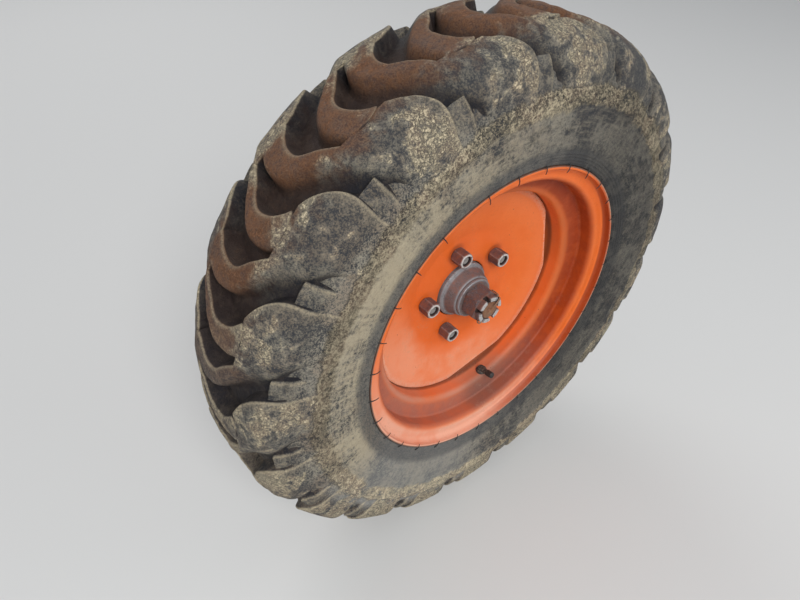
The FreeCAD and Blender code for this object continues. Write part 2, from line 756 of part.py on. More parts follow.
def make_bleed_screw():
    """Bleed screw beside the inlet of the brake cylinder."""
    base_y = brake_face_y + cylinder_boss_height
    hex_end_y = base_y + bleeder_hex_height
    screw = hexagon(bleeder_af, base_y, hex_end_y, bleeder_offset, cylinder_place_r)
    tip = rod(bleeder_tip_r, hex_end_y, base_y + bleeder_height, bleeder_offset, cylinder_place_r)
    return screw.fuse(tip)


os.makedirs("parts", exist_ok=True)

save(make_axle_arm(), "axle_arm")
save(make_bearing(), "wheel_bearing")
save(make_bearing_cover(), "bearing_cover")
save(make_back_plate(), "brake_back_plate")
save(make_brake_bolts(), "brake_bolts")
save(make_brake_cylinder(), "brake_cylinder")
save(make_bleed_screw(), "bleed_screw")
save(make_drum(), "brake_drum")
save(make_hub(), "hub")
save(make_half_shaft(), "half_shaft")
save(make_washer(), "hub_washer")
save(make_castle_nut(), "castle_nut")
save(make_split_pin(), "split_pin")
save(make_studs(), "wheel_studs")
for number in range(stud_count):
    save(make_wheel_nut(number), "wheel_nut_" + str(number + 1))
save(make_disc(), "wheel_disc")
save(make_rim(), "rim")
save(make_valve_stem(), "valve_stem")
save(make_valve_cap(), "valve_cap")
save(make_tyre(), "tyre")
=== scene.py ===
"""Looks of a site dumper's driven wheel on its axle end: lugged tyre, painted rim and disc, hub and brake."""

import math

import bmesh
import bpy
import numpy as np
from mathutils import Matrix, Vector


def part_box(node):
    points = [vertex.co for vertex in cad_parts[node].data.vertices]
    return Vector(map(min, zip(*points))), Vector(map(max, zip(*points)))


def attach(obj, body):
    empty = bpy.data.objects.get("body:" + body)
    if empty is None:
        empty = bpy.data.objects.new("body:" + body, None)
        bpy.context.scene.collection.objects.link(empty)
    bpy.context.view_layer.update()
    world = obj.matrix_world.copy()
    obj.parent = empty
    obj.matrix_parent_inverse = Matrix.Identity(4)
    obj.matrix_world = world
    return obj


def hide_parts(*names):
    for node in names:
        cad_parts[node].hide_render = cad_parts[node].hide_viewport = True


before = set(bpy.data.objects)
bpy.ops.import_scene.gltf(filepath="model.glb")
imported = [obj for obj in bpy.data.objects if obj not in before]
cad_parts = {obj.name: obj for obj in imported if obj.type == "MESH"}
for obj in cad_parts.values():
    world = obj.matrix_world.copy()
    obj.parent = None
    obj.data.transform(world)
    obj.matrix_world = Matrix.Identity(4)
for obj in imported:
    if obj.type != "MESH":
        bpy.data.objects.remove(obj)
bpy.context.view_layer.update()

bl_info = {
    "name": "Site dumper wheel",
    "version": (1, 0, 0),
    "blender": (4, 5, 0),
    "location": "View3D > Sidebar > Dumper wheel",
    "description": "Dresses the driven wheel and axle end of a small site dumper",
    "category": "Object",
}

MM = 0.001
TURN = 2 * math.pi

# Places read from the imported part, or set by it, in metres.
TYRE_LOW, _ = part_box("tyre")
_, CASTLE_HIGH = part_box("castle_nut")
CASTLE_SEAT_Y = CASTLE_HIGH.y
DISC_FACE_Y = -0.266


def size(name, default, description):
    """A length that a user may change, in metres."""
    return bpy.props.FloatProperty(
        name=name, description=description, default=default, min=0.0, unit="LENGTH", precision=4)


def colour(name, default, description):
    """A colour that a user may change."""
    return bpy.props.FloatVectorProperty(
        name=name, description=description, default=default, size=3, subtype="COLOR", min=0.0, max=1.0)


class DumperWheelSizes(bpy.types.PropertyGroup):
    """Sizes of the dressed pieces."""

    mid_plane: size("Wheel mid-plane", 0.265, "How far outboard of the axle flange the tyre's middle stands")
    tyre_radius: size("Tyre radius", 0.3845, "From the axle to the crown of the lugs")
    shoulder_radius: size("Shoulder radius", 0.330, "Where the tops of the lugs meet the shoulder")
    tread_half_width: size("Tread half width", 0.092, "From the mid-plane to the shoulder")
    lug_height: size("Lug height", 0.022, "From the tread floor to the top of a lug at the crown")
    rim_lip_radius: size("Rim lip radius", 0.225, "Outer edge of the rolled rim")
    seat_radius: size("Bead seat radius", 0.2028, "Where the tyre sits on the rim")
    bead_rib: size("Bead rib height", 0.0009, "Fine rings moulded in the rubber beside the rim")
    mud_depth: size("Mud depth", 0.0022, "Thickness of the dried mud round the shoulder")
    whisker_length: size("Vent whisker length", 0.013, "Thin rubber whiskers that stand round the rim")
    nut_width: size("Wheel nut width", 0.022, "Across the flats of a wheel nut")
    castle_width: size("Castle nut width", 0.046, "Across the flats of the castle nut")


class DumperWheelColours(bpy.types.PropertyGroup):
    """Colours of the finishes."""

    rubber: colour("Rubber", (0.148, 0.140, 0.124), "Worn grey rubber")
    rubber_dark: colour("Dark rubber", (0.036, 0.037, 0.040), "Darker patches and cracks")
    dust: colour("Dust", (0.320, 0.288, 0.222), "Grey dust that lies on the rubber")
    mud: colour("Dry mud", (0.480, 0.405, 0.275), "Pale dried mud on the shoulder and the lugs")
    earth: colour("Brown earth", (0.095, 0.040, 0.020), "Darker earth packed in the middle of the tread")
    paint: colour("Wheel paint", (0.760, 0.146, 0.022), "Faded orange paint of the rim and disc")
    # Unfaded paint in the well, and painted shade there too.
    well_paint_and_shade: colour("Deep wheel paint", (0.235, 0.022, 0.003), "Unfaded paint in the well of the rim")
    rust: colour("Rust", (0.090, 0.036, 0.028), "Red-brown rust on nuts and castings")
    iron: colour("Hub iron", (0.135, 0.098, 0.093), "Weathered casting of the hub")
    bright: colour("Worn steel", (0.560, 0.545, 0.520), "Steel rubbed bright")
    axle: colour("Axle paint", (0.090, 0.082, 0.076), "Dusty dark paint of the axle arm")
    floor: colour("Floor", (0.660, 0.655, 0.640), "Plain pale floor")


# Materials

# Tints that a finish mixes with the colours a user picks.
BLACK_RUBBER = (0.030, 0.033, 0.040)
BEAD_GREY = (0.072, 0.071, 0.070)
WALL_GREY = (0.235, 0.237, 0.228)
WARM_DUST = (0.285, 0.222, 0.155)
DULL_MUD = (0.205, 0.176, 0.122)
WARM_MUD = (0.215, 0.150, 0.105)
# A painted highlight of tan on the leading edges of the lugs.
LUG_EDGE_HIGHLIGHT = (0.400, 0.335, 0.230)
LIGHT_EARTH = (0.200, 0.096, 0.048)
# Painted shadow in the tread's hollows, black, and brown over earth; GAP_DUST is the packed dust mixed in.
HOLLOW_SHADOW_BLACK = (0.0080, 0.0080, 0.0120)
HOLLOW_SHADOW_BROWN = (0.026, 0.014, 0.010)
GAP_DUST = (0.105, 0.078, 0.062)

SUN_FADED = (0.820, 0.190, 0.042)
STRONG_PAINT = (0.600, 0.090, 0.012)
DUSTY_WELL = (0.270, 0.104, 0.084)
WELL_FLOOR = (0.300, 0.085, 0.035)
PALE_WELL_FLOOR = (0.500, 0.250, 0.185)
# Painted shadow in the well beside the disc's edge.
CREVICE_SHADOW = (0.040, 0.012, 0.008)
# Painted shade with grime, low on the right of the sunk well and round the valve.
WELL_SHADE_AND_GRIME = (0.120, 0.072, 0.060)
DUSTY_FLANGE = (0.780, 0.430, 0.310)
CURL_SHADE = (0.270, 0.040, 0.010)
RUBBED_LIP = (0.520, 0.360, 0.260)
# Painted shadow of the gap where the tyre meets the lip.
LIP_SHADOW = (0.050, 0.030, 0.024)
# Darker red paint in a ring round the hub.
DARKER_BY_HUB = (0.330, 0.055, 0.014)
LAND_PAINT = (0.720, 0.105, 0.010)
# Painted contact shade in a mottled ring round each wheel nut.
NUT_SEAT_SHADE = (0.250, 0.052, 0.022)
RUBBED_PAINT = (0.760, 0.235, 0.095)
LOW_PAINT_DUST = (0.800, 0.310, 0.175)
# Painted highlight along the disc's edge.
DISC_EDGE_HIGHLIGHT = (0.800, 0.430, 0.300)
# Painted shade on the side of the disc's edge.
DISC_SIDE_SHADE = (0.060, 0.028, 0.020)
PAINT_DUST = (0.520, 0.340, 0.220)
CHIPPED_PAINT = (0.100, 0.034, 0.022)

IRON_PIT = (0.030, 0.021, 0.023)
FRESH_RUST = (0.270, 0.098, 0.042)
# Painted shade in recesses of iron and steel and where parts meet.
IRON_RECESS_SHADE = (0.022, 0.014, 0.013)


def math_method(operation, reflected=False):
    """A method of Value that adds a Math node for itself and another value."""

    def method(self, other):
        pair = (other, self) if reflected else (self, other)
        return self.nodes.add("ShaderNodeMath", {"operation": operation}, dict(enumerate(pair)))

    return method


class Value:
    """A socket that can be used in Python expressions, each of which adds a Math node."""

    def __init__(self, nodes, socket):
        self.nodes = nodes
        self.socket = socket

    def beside(self, name):
        """Another output of the same node."""
        return Value(self.nodes, self.socket.node.outputs[name])

    __add__ = math_method("ADD")
    __radd__ = math_method("ADD", reflected=True)
    __sub__ = math_method("SUBTRACT")
    __rsub__ = math_method("SUBTRACT", reflected=True)
    __mul__ = math_method("MULTIPLY")
    __rmul__ = math_method("MULTIPLY", reflected=True)
    __truediv__ = math_method("DIVIDE")
    __rtruediv__ = math_method("DIVIDE", reflected=True)
    __pow__ = math_method("POWER")
    __rpow__ = math_method("POWER", reflected=True)
    max = math_method("MAXIMUM")
    min = math_method("MINIMUM")


class Nodes:
    """The nodes of one material or of the world."""

    def __init__(self, owner):
        owner.use_nodes = True
        self.tree = owner.node_tree

    def feed(self, socket, value):
        """Links a value to a socket, or sets the socket to a plain number or colour."""
        if isinstance(value, Value):
            self.tree.links.new(value.socket, socket)
        else:
            socket.default_value = value

    def add(self, kind, settings, inputs, output=0):
        """A node of any type: its settings first, then the values or links of its sockets."""
        node = self.tree.nodes.new(kind)
        for name, value in settings.items():
            setattr(node, name, value)
        for name, value in inputs.items():
            self.feed(node.inputs[name], value)
        return Value(self, node.outputs[output])


class Finish(Nodes):
    """The nodes of one material, with the handful of patterns that the finishes share."""

    def __init__(self, name):
        self.material = bpy.data.materials.new(name)
        super().__init__(self.material)
        self.shader = self.tree.nodes["Principled BSDF"]
        self.place = self.add("ShaderNodeTexCoord", {}, {}, "Object")

    def xyz(self):
        """The object coordinates as three values."""
        x = self.add("ShaderNodeSeparateXYZ", {}, {0: self.place})
        return x, x.beside("Y"), x.beside("Z")

    def radius(self):
        """Distance from the axle, in metres."""
        x, _, z = self.xyz()
        return (x * x + z * z) ** 0.5

    def noise(self, scale, detail=4.0, rough=0.6, place=None, distortion=0.0):
        """Noise from 0 to 1 on the object coordinates, scale in patches per metre."""
        return self.add("ShaderNodeTexNoise", {}, {
            "Vector": place or self.place, "Scale": scale, "Detail": detail,
            "Roughness": rough, "Distortion": distortion})

    def cells(self, scale, feature="F1", place=None):
        """Distance to the nearest of many scattered points, or to the edge between two of them."""
        return self.add(
            "ShaderNodeTexVoronoi", {"feature": feature},
            {"Vector": place or self.place, "Scale": scale}, "Distance")

    def warped(self, scale, shift):
        """The object coordinates pushed about by noise, for patterns with no straight lines in them."""
        push = self.add("ShaderNodeTexNoise", {}, {"Vector": self.place, "Scale": scale, "Detail": 3.0}, 1)
        return self.add(
            "ShaderNodeVectorMath", {"operation": "MULTIPLY_ADD"}, {0: push, 1: (shift,) * 3, 2: self.place})

    def streaks(self, turns, detail, fineness):
        """Noise drawn out round the axle: fine across the section and long along its circles."""
        x, y, z = self.xyz()
        radius = self.radius()
        place = self.add("ShaderNodeCombineXYZ", {}, {
            0: x / radius * turns, 1: z / radius * turns, 2: (radius + y) * fineness})
        return self.noise(1.0, detail, 0.65, place)

    def ramp(self, value, low, high):
        """0 below low, 1 above high and smooth between them."""
        return self.add(
            "ShaderNodeMapRange", {"interpolation_type": "SMOOTHSTEP"},
            {"Value": value, "From Min": low, "From Max": high})

    def band(self, value, low, high, soft):
        """1 between low and high, falling off over soft on each side."""
        return self.ramp(value, low - soft, low + soft) * (1 - self.ramp(value, high - soft, high + soft))

    def attribute(self, name):
        """A number kept at each point of the mesh."""
        return self.add("ShaderNodeAttribute", {"attribute_name": name}, {}, "Fac")

    def mix(self, mask, first, second):
        """The first colour where the mask is 0 and the second where it is 1."""
        first, second = (
            tint if isinstance(tint, Value) else (*tint, 1.0) for tint in (first, second))
        return self.add("ShaderNodeMix", {"data_type": "RGBA"}, {0: mask, 6: first, 7: second}, 2)

    def coated(self, base, *coats):
        """A base colour under coats of (mask, colour), the last one outermost."""
        for mask, tint in coats:
            base = self.mix(mask, base, tint)
        return base

    def shade(self, base, factor):
        """A colour made lighter or darker by a value."""
        grey = self.add("ShaderNodeCombineXYZ", {}, {0: factor, 1: factor, 2: factor})
        return self.add("ShaderNodeVectorMath", {"operation": "MULTIPLY"}, {0: base, 1: grey})

    def bump(self, height, distance, strength=1.0):
        """A normal that shows a height, whose full range stands for a distance in metres."""
        return self.add("ShaderNodeBump", {}, {"Height": height, "Distance": distance, "Strength": strength})

    def finish(self, **sockets):
        """Feeds sockets of the shader, named with underscores for spaces, and gives the material."""
        for name, value in sockets.items():
            self.feed(self.shader.inputs[name.replace("_", " ")], value)
        return self.material


def rubber_material(name, sizes, colours):
    """Worn rubber under dried mud: thick round the shoulder, crazed on the lugs, brown in mid tread.

    The mesh gives three numbers: cavity, for painted shade in the hollows and on the lugs' flanks,
    edge, for a painted highlight along the leading edge of a lug's top, and crest, which is 1 on top of a
    lug.
    """
    n = Finish(name)
    x, y, z = n.xyz()
    radius = n.radius()
    offset = -1 * y - sizes.mid_plane
    across = offset.max(-1 * offset)
    cavity, edge, crest = (n.attribute(label) for label in ("cavity", "edge", "crest"))

    # Sides of the wheel, where more dirt lies and where the colour is made lighter or darker
    to_left = n.ramp(-1 * x / radius, -0.35, 0.75)
    to_right = n.ramp(x / radius, -0.05, 0.80)
    low_left = n.ramp((x * -0.57 + z * -0.82) / radius, 0.78, 0.985)
    level_left = n.ramp((x * -0.94 + z * 0.34) / radius, 0.80, 0.98)
    low_tread = n.ramp(-1 * z, -0.06, 0.20)

    # Zones from the bead out to the tread
    near_bead = 1 - n.ramp(radius, 0.243, 0.254)
    wall = (1 - n.ramp(radius, 0.300, 0.312)) * n.ramp(radius, 0.238, 0.256)
    tread = n.ramp(radius, 0.322, 0.340)

    # Patterns
    coarse = n.noise(15.0, 4.0, 0.55, distortion=0.5)
    middling = n.noise(60.0, 5.0, 0.62, distortion=0.35)
    fine = n.noise(210.0, 6.0, 0.72)
    grain = n.noise(560.0, 4.0, 0.75)
    rings = n.streaks(9.0, 3.0, 260.0)
    runs = n.streaks(46.0, 4.0, 9.0)
    mottled = coarse * 0.30 + middling * 0.30 + fine * 0.40
    speckled = middling * 0.15 + fine * 0.35 + grain * 0.50
    blotched = coarse * 0.55 + middling * 0.45
    streaked = runs * 0.20 + rings * 0.20 + coarse * 0.30 + fine * 0.30
    warm = n.ramp(n.noise(27.0, 4.0, 0.6), 0.42, 0.60)
    pits = 1 - n.ramp(n.cells(170.0), 0.10, 0.28)
    cracks = 1 - n.ramp(n.cells(175.0, "DISTANCE_TO_EDGE", n.warped(100.0, 0.012)), 0.01, 0.09)
    craze = cracks * n.ramp(middling * 0.5 + fine * 0.5, 0.42, 0.54) * (0.7 + low_tread * 0.3)

    # Bare rubber and the dust on it
    dust_tint = n.mix(warm * 0.8, colours.dust, WARM_DUST)
    dust_here = (0.20 + to_left * (0.60 - tread * 0.35)).max(
        crest * (0.08 + n.ramp(blotched, 0.45, 0.53) * 0.76))
    surface = n.coated(
        n.mix(n.ramp(blotched, 0.44, 0.54), BLACK_RUBBER, colours.rubber),
        (n.ramp(1 - speckled, 0.47, 0.56) * 0.60, colours.rubber_dark),
        (n.ramp(speckled, 0.44, 0.56) * dust_here, dust_tint),
        (wall * n.ramp(streaked, 0.40, 0.57) * (0.06 + to_left * 0.70), colours.mud),
        (wall * n.ramp(rings * 0.6 + fine * 0.4, 0.46, 0.64) * 0.30, colours.dust),
        ((1 - tread) * low_left * (0.25 + speckled * 0.7), WALL_GREY),
        (near_bead * 0.55, BEAD_GREY))

    # Mud: a caked ring round the shoulder, plaques on the lugs and a film on the tread
    ragged = radius - x * 0.032 + (middling - 0.5) * 0.012 + (coarse - 0.5) * 0.020 - (runs - 0.5) * 0.014
    ring = n.ramp(ragged, 0.2935, 0.3005) * (1 - n.ramp(ragged, 0.318, 0.325))
    caked = ring * (1 - pits * 0.8) * n.ramp(speckled + coarse * 0.3, 0.50, 0.68)
    worn_seam = n.band(ragged, 0.3205, 0.3225, 0.0012) * n.ramp(mottled, 0.40, 0.55)
    plaque = crest * n.ramp(blotched + low_left * 0.03 + low_tread * 0.04, 0.495, 0.545)
    crust = plaque * (0.40 + n.ramp(speckled, 0.43, 0.55) * 0.60)
    film = tread * (1 - crest * 0.4) * n.ramp(speckled * 0.8 + coarse * 0.2, 0.46, 0.62)
    film = film * (0.35 + low_tread * 0.45)
    mud = (caked * 0.92).max(crust * (1 - craze * 0.7) * 0.92).max(film)
    mud_tint = n.mix(
        n.ramp(fine * 0.5 + grain * 0.5, 0.42, 0.58), n.mix(warm, DULL_MUD, WARM_MUD), colours.mud)

    # Brown earth in mid tread, a painted highlight on the lugs' leading edges and painted shade in the
    # hollows beside them
    middle = 1 - n.ramp(across + (blotched - 0.5) * 0.16, 0.026, 0.062)
    earth_here = middle * tread * (0.18 + n.ramp(z, 0.00, 0.20) * 0.82)
    earth_tint = n.mix(n.ramp(speckled, 0.40, 0.62), colours.earth, LIGHT_EARTH)
    # A painted highlight along the leading edge of each lug's top.
    lit = edge * (0.35 + n.ramp(speckled, 0.40, 0.54) * 0.65)
    lit = lit * (0.6 + to_left * 0.4) * (1 - earth_here * 0.5)
    # Painted shade in the hollows and on the lugs' flanks, weaker low on the tyre where mud fills them; its
    # tint is painted shadow mixed with packed dust.
    hollow_shade = n.ramp(cavity, 0.05, 0.80) * (1 - n.ramp(mottled, 0.48, 0.64) * 0.15)
    hollow_shade = hollow_shade * (1 - low_tread * (0.30 + middle * 0.45))
    packed = n.ramp(speckled * 0.5 + middling * 0.5, 0.44, 0.56) * (0.20 + low_tread * 0.80)
    hollow_shade_and_dust = n.mix(packed, n.mix(earth_here * 0.8, HOLLOW_SHADOW_BLACK, HOLLOW_SHADOW_BROWN), GAP_DUST)
    surface = n.coated(
        surface,
        (mud, mud_tint),
        ((craze * plaque * 0.75).max(worn_seam * 0.8), colours.rubber_dark),
        (earth_here * (0.5 + n.ramp(mottled, 0.36, 0.54) * 0.5), earth_tint),
        (lit * 0.9, LUG_EDGE_HIGHLIGHT),
        (hollow_shade * 0.97, hollow_shade_and_dust))

    # Made lighter: the mud plaques, the lower left of the mud ring and the low tread; made darker: the right
    # of the wall and the left of the mud ring.
    lighter = plaque * 0.34 + low_left * ring * 0.26 + low_tread * n.ramp(radius, 0.288, 0.300) * 0.22
    darker = (1 - tread) * to_right * 0.45 + level_left * ring * 0.30
    height = middling * 0.5 + fine * 0.5 + grain * 0.25 + mud * 0.35
    height = height - craze * plaque * 0.4 - pits * ring * 0.4
    return n.finish(
        Base_Color=n.shade(surface, 1 + lighter - darker),
        Roughness=(0.76 + mud * 0.20 - hollow_shade * 0.10).min(0.97),
        Specular_IOR_Level=0.25,
        Normal=n.bump(height + rings * wall * 0.30, 0.0034))


def paint_material(name, colours, is_rim):
    """Faded orange paint: deeper in the well, pale and rubbed at the lip, with dust and chips."""
    n = Finish(name)
    x, y, z = n.xyz()
    radius = n.radius()
    coarse = n.noise(8.0, 4.0, 0.55)
    middling = n.noise(44.0, 5.0, 0.6)
    fine = n.noise(260.0, 4.0, 0.65)
    mottled = coarse * 0.6 + middling * 0.4
    speckled = middling * 0.4 + fine * 0.6
    low = n.ramp((x * -0.45 + z * -0.89) / radius, 0.05, 0.95)
    if is_rim:
        outboard = -1 * y
        to_right = n.ramp((x - z * 0.3) / radius, 0.10, 0.85)
        deep = n.band(radius, 0.177, 0.2015, 0.0055) * n.ramp(outboard, 0.275, 0.318)
        floor = n.band(radius, 0.1695, 0.1775, 0.003) * n.ramp(outboard, 0.270, 0.280)
        beside_disc = floor * (1 - n.ramp(outboard + (middling - 0.5) * 0.004, 0.2824, 0.2880))
        sunk = n.band(radius, 0.170, 0.203, 0.008) * n.ramp(outboard, 0.283, 0.300)
        toward_valve = (x * 0.20 + z * -0.98) / radius
        # Painted shade with grime low on the right of the sunk well, and a painted shadow round the valve.
        shade_and_grime = sunk * low * to_right * (0.45 + n.ramp(mottled, 0.30, 0.62) * 0.55)
        shade_and_grime = shade_and_grime.max(sunk * n.ramp(toward_valve + (mottled - 0.5) * 0.02, 0.940, 1.000) * 0.7)
        flange = n.band(radius, 0.204, 0.226, 0.004)
        curled = n.band(radius, 0.2185, 0.2236, 0.0010) * to_right
        lip = n.ramp(radius, 0.2225, 0.2243) * n.ramp(outboard, 0.3440, 0.3490)
        own_coats = (
            # The well's deep tint: unfaded paint and painted shade.
            (deep * (0.75 + n.ramp(middling, 0.30, 0.60) * 0.20 - low * 0.10),
             n.mix(low, colours.well_paint_and_shade, DUSTY_WELL)),
            (floor * n.ramp(coarse, 0.30, 0.70) * 0.45, WELL_FLOOR),
            (floor * low * n.ramp(coarse, 0.34, 0.62) * 0.60, PALE_WELL_FLOOR),
            # A painted shadow in the well beside the disc.
            (beside_disc * 0.95, CREVICE_SHADOW),
            (shade_and_grime * 0.85, WELL_SHADE_AND_GRIME),
            (flange * low * (0.50 + n.ramp(mottled, 0.34, 0.58) * 0.35), DUSTY_FLANGE),
            (curled * 0.80, CURL_SHADE),
            (lip * (0.2 + n.ramp(speckled, 0.42, 0.56) * 0.7), RUBBED_LIP),
            # A painted shadow of the gap at the lip, away from the right, where the tyre meets it.
            (lip * (1 - to_right * 0.8) * 0.85, LIP_SHADOW))
    else:
        by_hub = 1 - n.ramp(radius + middling * 0.012, 0.050, 0.070)
        land = 1 - n.ramp(radius + (coarse - 0.5) * 0.07, 0.080, 0.128)
        rub = n.ramp(radius + (coarse - 0.5) * 0.03, 0.120, 0.168)
        # Painted shade on the disc's edge side, the dark line between disc and rim.
        side = n.ramp(radius, 0.1600, 0.1610) * n.ramp(y, -0.2797, -0.2785)
        own_coats = (
            (by_hub * 0.40, DARKER_BY_HUB),
            (land * 0.35, LAND_PAINT),
            # A mottled ring of painted shade round each nut.
            (n.attribute("seat") * n.ramp(mottled + fine * 0.15, 0.44, 0.62) * 0.60, NUT_SEAT_SHADE),
            (rub * 0.32, RUBBED_PAINT),
            (low * (1 - land) * (0.35 + n.ramp(mottled, 0.40, 0.60) * 0.45), LOW_PAINT_DUST),
            # A painted highlight along the disc's edge, broken up by noise.
            (n.attribute("edge") * n.ramp(fine, 0.38, 0.52) * 0.6, DISC_EDGE_HIGHLIGHT),
            (side * 0.85, DISC_SIDE_SHADE))
    blemish = (1 - n.ramp(n.cells(70.0), 0.035, 0.075)) * n.ramp(coarse, 0.50, 0.57)
    dust = n.ramp(speckled, 0.52, 0.66)
    surface = n.coated(
        n.mix(n.ramp(mottled, 0.44, 0.60) * 0.5, colours.paint, SUN_FADED),
        (n.ramp(speckled, 0.50, 0.64) * 0.22, STRONG_PAINT),
        *own_coats,
        (dust * (0.10 + low * 0.12), PAINT_DUST),
        (blemish * 0.8, CHIPPED_PAINT))
    return n.finish(
        Base_Color=surface,
        Roughness=0.48 + dust * 0.22 + n.ramp(middling, 0.4, 0.6) * 0.10,
        Specular_IOR_Level=0.28,
        Normal=n.bump(middling * 0.55 + fine * 0.25 - blemish * 0.5, 0.0007, 0.6))


def iron_material(name, base_tint, rust_tint, pale_tint, scale, bright=None, metal=0.10):
    """Weathered iron or steel: rust in patches, pale dust, and steel rubbed bright where asked.

    The mesh number bright is 1 where the steel is rubbed, on the wheel nuts' corners also a painted
    highlight, and below 0 where painted shade darkens recesses and joints.
    """
    n = Finish(name)
    coarse = n.noise(28.0 * scale, 5.0, 0.65, distortion=0.6)
    middling = n.noise(110.0 * scale, 5.0, 0.65)
    fine = n.noise(560.0, 4.0, 0.65)
    patchy = coarse * 0.4 + middling * 0.6
    speckled = middling * 0.4 + fine * 0.6
    dust = n.ramp(1 - speckled * 0.7 - coarse * 0.3, 0.50, 0.64)
    surface = n.coated(
        n.mix(n.ramp(patchy, 0.38, 0.60), base_tint, rust_tint),
        (n.ramp(1 - patchy, 0.50, 0.64) * 0.65, IRON_PIT),
        (n.ramp(speckled, 0.53, 0.62) * 0.60, FRESH_RUST),
        (dust * 0.50, pale_tint))
    rough = 0.68 + dust * 0.18
    if bright:
        wear_and_shade = n.attribute("bright")
        rubbed = wear_and_shade.max(0.0) * n.ramp(middling * 0.6 + fine * 0.4, 0.36, 0.50)
        # Below 0, the mesh number paints shade into recesses and joints.
        surface = n.coated(surface, (rubbed, bright), ((-1 * wear_and_shade).max(0.0), IRON_RECESS_SHADE))
        rough = rough - rubbed * 0.22
        metal = metal + rubbed * 0.20
    return n.finish(
        Base_Color=surface, Roughness=rough, Metallic=metal,
        Normal=n.bump(middling * 0.5 + fine * 0.5, 0.0007, 0.8))


def plain_rubber_material(name, tint, dust_tint):
    """Small black rubber or plastic pieces with dust on them."""
    n = Finish(name)
    fine = n.noise(240.0, 5.0, 0.65)
    dust = n.ramp(fine, 0.46, 0.72)
    return n.finish(
        Base_Color=n.mix(dust * 0.55, tint, dust_tint), Roughness=0.62 + dust * 0.25,
        Normal=n.bump(fine, 0.0004, 0.6))


# Shapes


def lattice_noise(points, patch, seed):
    """Smooth noise from -1 to 1.

    Each corner of a cubic lattice with the given patch size gets a number from the fractional part
    of a large sine of its place, and the eight corners round a point are blended by 3t^2 - 2t^3.
    """
    at = points / patch
    low = np.floor(at)
    part = at - low
    part = part * part * (3 - 2 * part)
    total = 0.0
    for dx in (0, 1):
        for dy in (0, 1):
            for dz in (0, 1):
                corner = low + (dx, dy, dz)
                mixed = corner @ np.array((12.9898, 78.233, 37.719)) + seed * 4.1414
                value = np.sin(mixed) * 43758.5453
                value = value - np.floor(value)
                weight = np.ones(len(at))
                for axis, side in enumerate((dx, dy, dz)):
                    weight = weight * (part[:, axis] if side else 1 - part[:, axis])
                total = total + weight * value
    return 2 * total - 1


def rough_noise(points, patch, seed, octaves=3):
    """Lattice noise summed over octaves, each half the size and half the strength of the one before."""
    total = 0.0
    for octave in range(octaves):
        total = total + lattice_noise(points, patch / 2 ** octave, seed + octave) / 2 ** octave
    return total


def smooth_step(value, low, high):
    """0 below low, 1 above high, and 3t^2 - 2t^3 between."""
    part = np.clip((value - low) / (high - low), 0.0, 1.0)
    return part * part * (3 - 2 * part)


def through(knots, values, at):
    """A smooth curve through points: cubic Hermite pieces whose slopes are the averages beside a point."""
    knots = np.asarray(knots, float)
    values = np.asarray(values, float)
    slopes = np.gradient(values, knots)
    place = np.clip(np.searchsorted(knots, at, side="right") - 1, 0, len(knots) - 2)
    step = knots[place + 1] - knots[place]
    t = np.clip((at - knots[place]) / step, 0.0, 1.0)
    return (
        (2 * t ** 3 - 3 * t ** 2 + 1) * values[place] + (t ** 3 - 2 * t ** 2 + t) * step * slopes[place]
        + (3 * t ** 2 - 2 * t ** 3) * values[place + 1] + (t ** 3 - t ** 2) * step * slopes[place + 1])


def rounded(corners, steps=5):
    """A run of (offset, radius) points where each corner (offset, radius, bend radius) is rounded.

    The arc touches both sides at bend / tan(half the angle) from the corner.
    """
    points = []
    flat = [np.array(corner[:2], float) for corner in corners]
    count = len(corners)
    for place, corner in enumerate(corners):
        bend = corner[2] if len(corner) > 2 else 0.0
        here = flat[place]
        if bend <= 0:
            points.append(here)
            continue
        before = flat[place - 1] - here
        after = flat[(place + 1) % count] - here
        before = before / np.linalg.norm(before)
        after = after / np.linalg.norm(after)
        half = math.acos(max(-1.0, min(1.0, float(before @ after)))) / 2
        reach = bend / math.tan(half)
        middle = (before + after) / np.linalg.norm(before + after)
        centre = here + middle * bend / math.sin(half)
        start = here + before * reach - centre
        end = here + after * reach - centre
        sweep = math.pi - 2 * half
        for share in np.arange(steps + 1) / steps:
            arc = math.sin((1 - share) * sweep) * start + math.sin(share * sweep) * end
            points.append(centre + arc / math.sin(sweep))
    return np.array(points)


def refined(points, longest):
    """The same closed run of points with more points along its long sides."""
    dense = []
    for start, end in zip(points, np.roll(points, -1, axis=0)):
        pieces = max(1, int(math.ceil(np.linalg.norm(end - start) / longest)))
        share = np.arange(pieces)[:, None] / pieces
        dense.append(start + (end - start) * share)
    return np.concatenate(dense)


def grid_faces(rows, columns, wrap_rows, wrap_columns):
    """Four-cornered faces of a grid of points, joined round at its ends where asked."""
    row = np.arange(rows if wrap_rows else rows - 1)
    column = np.arange(columns if wrap_columns else columns - 1)
    a, b = np.meshgrid(row, column, indexing="ij")
    a, b = a.ravel(), b.ravel()
    next_a, next_b = (a + 1) % rows, (b + 1) % columns
    corners_of_face = [a * columns + b, a * columns + next_b, next_a * columns + next_b, next_a * columns + b]
    return np.stack(corners_of_face, 1)


def signed_volume(points, faces):
    """Six times the volume inside four-cornered faces, negative where they point inwards."""
    a, b, c, d = (points[faces[:, corner]] for corner in range(4))
    return float(np.sum(np.cross(a, b) * c) + np.sum(np.cross(a, c) * d))


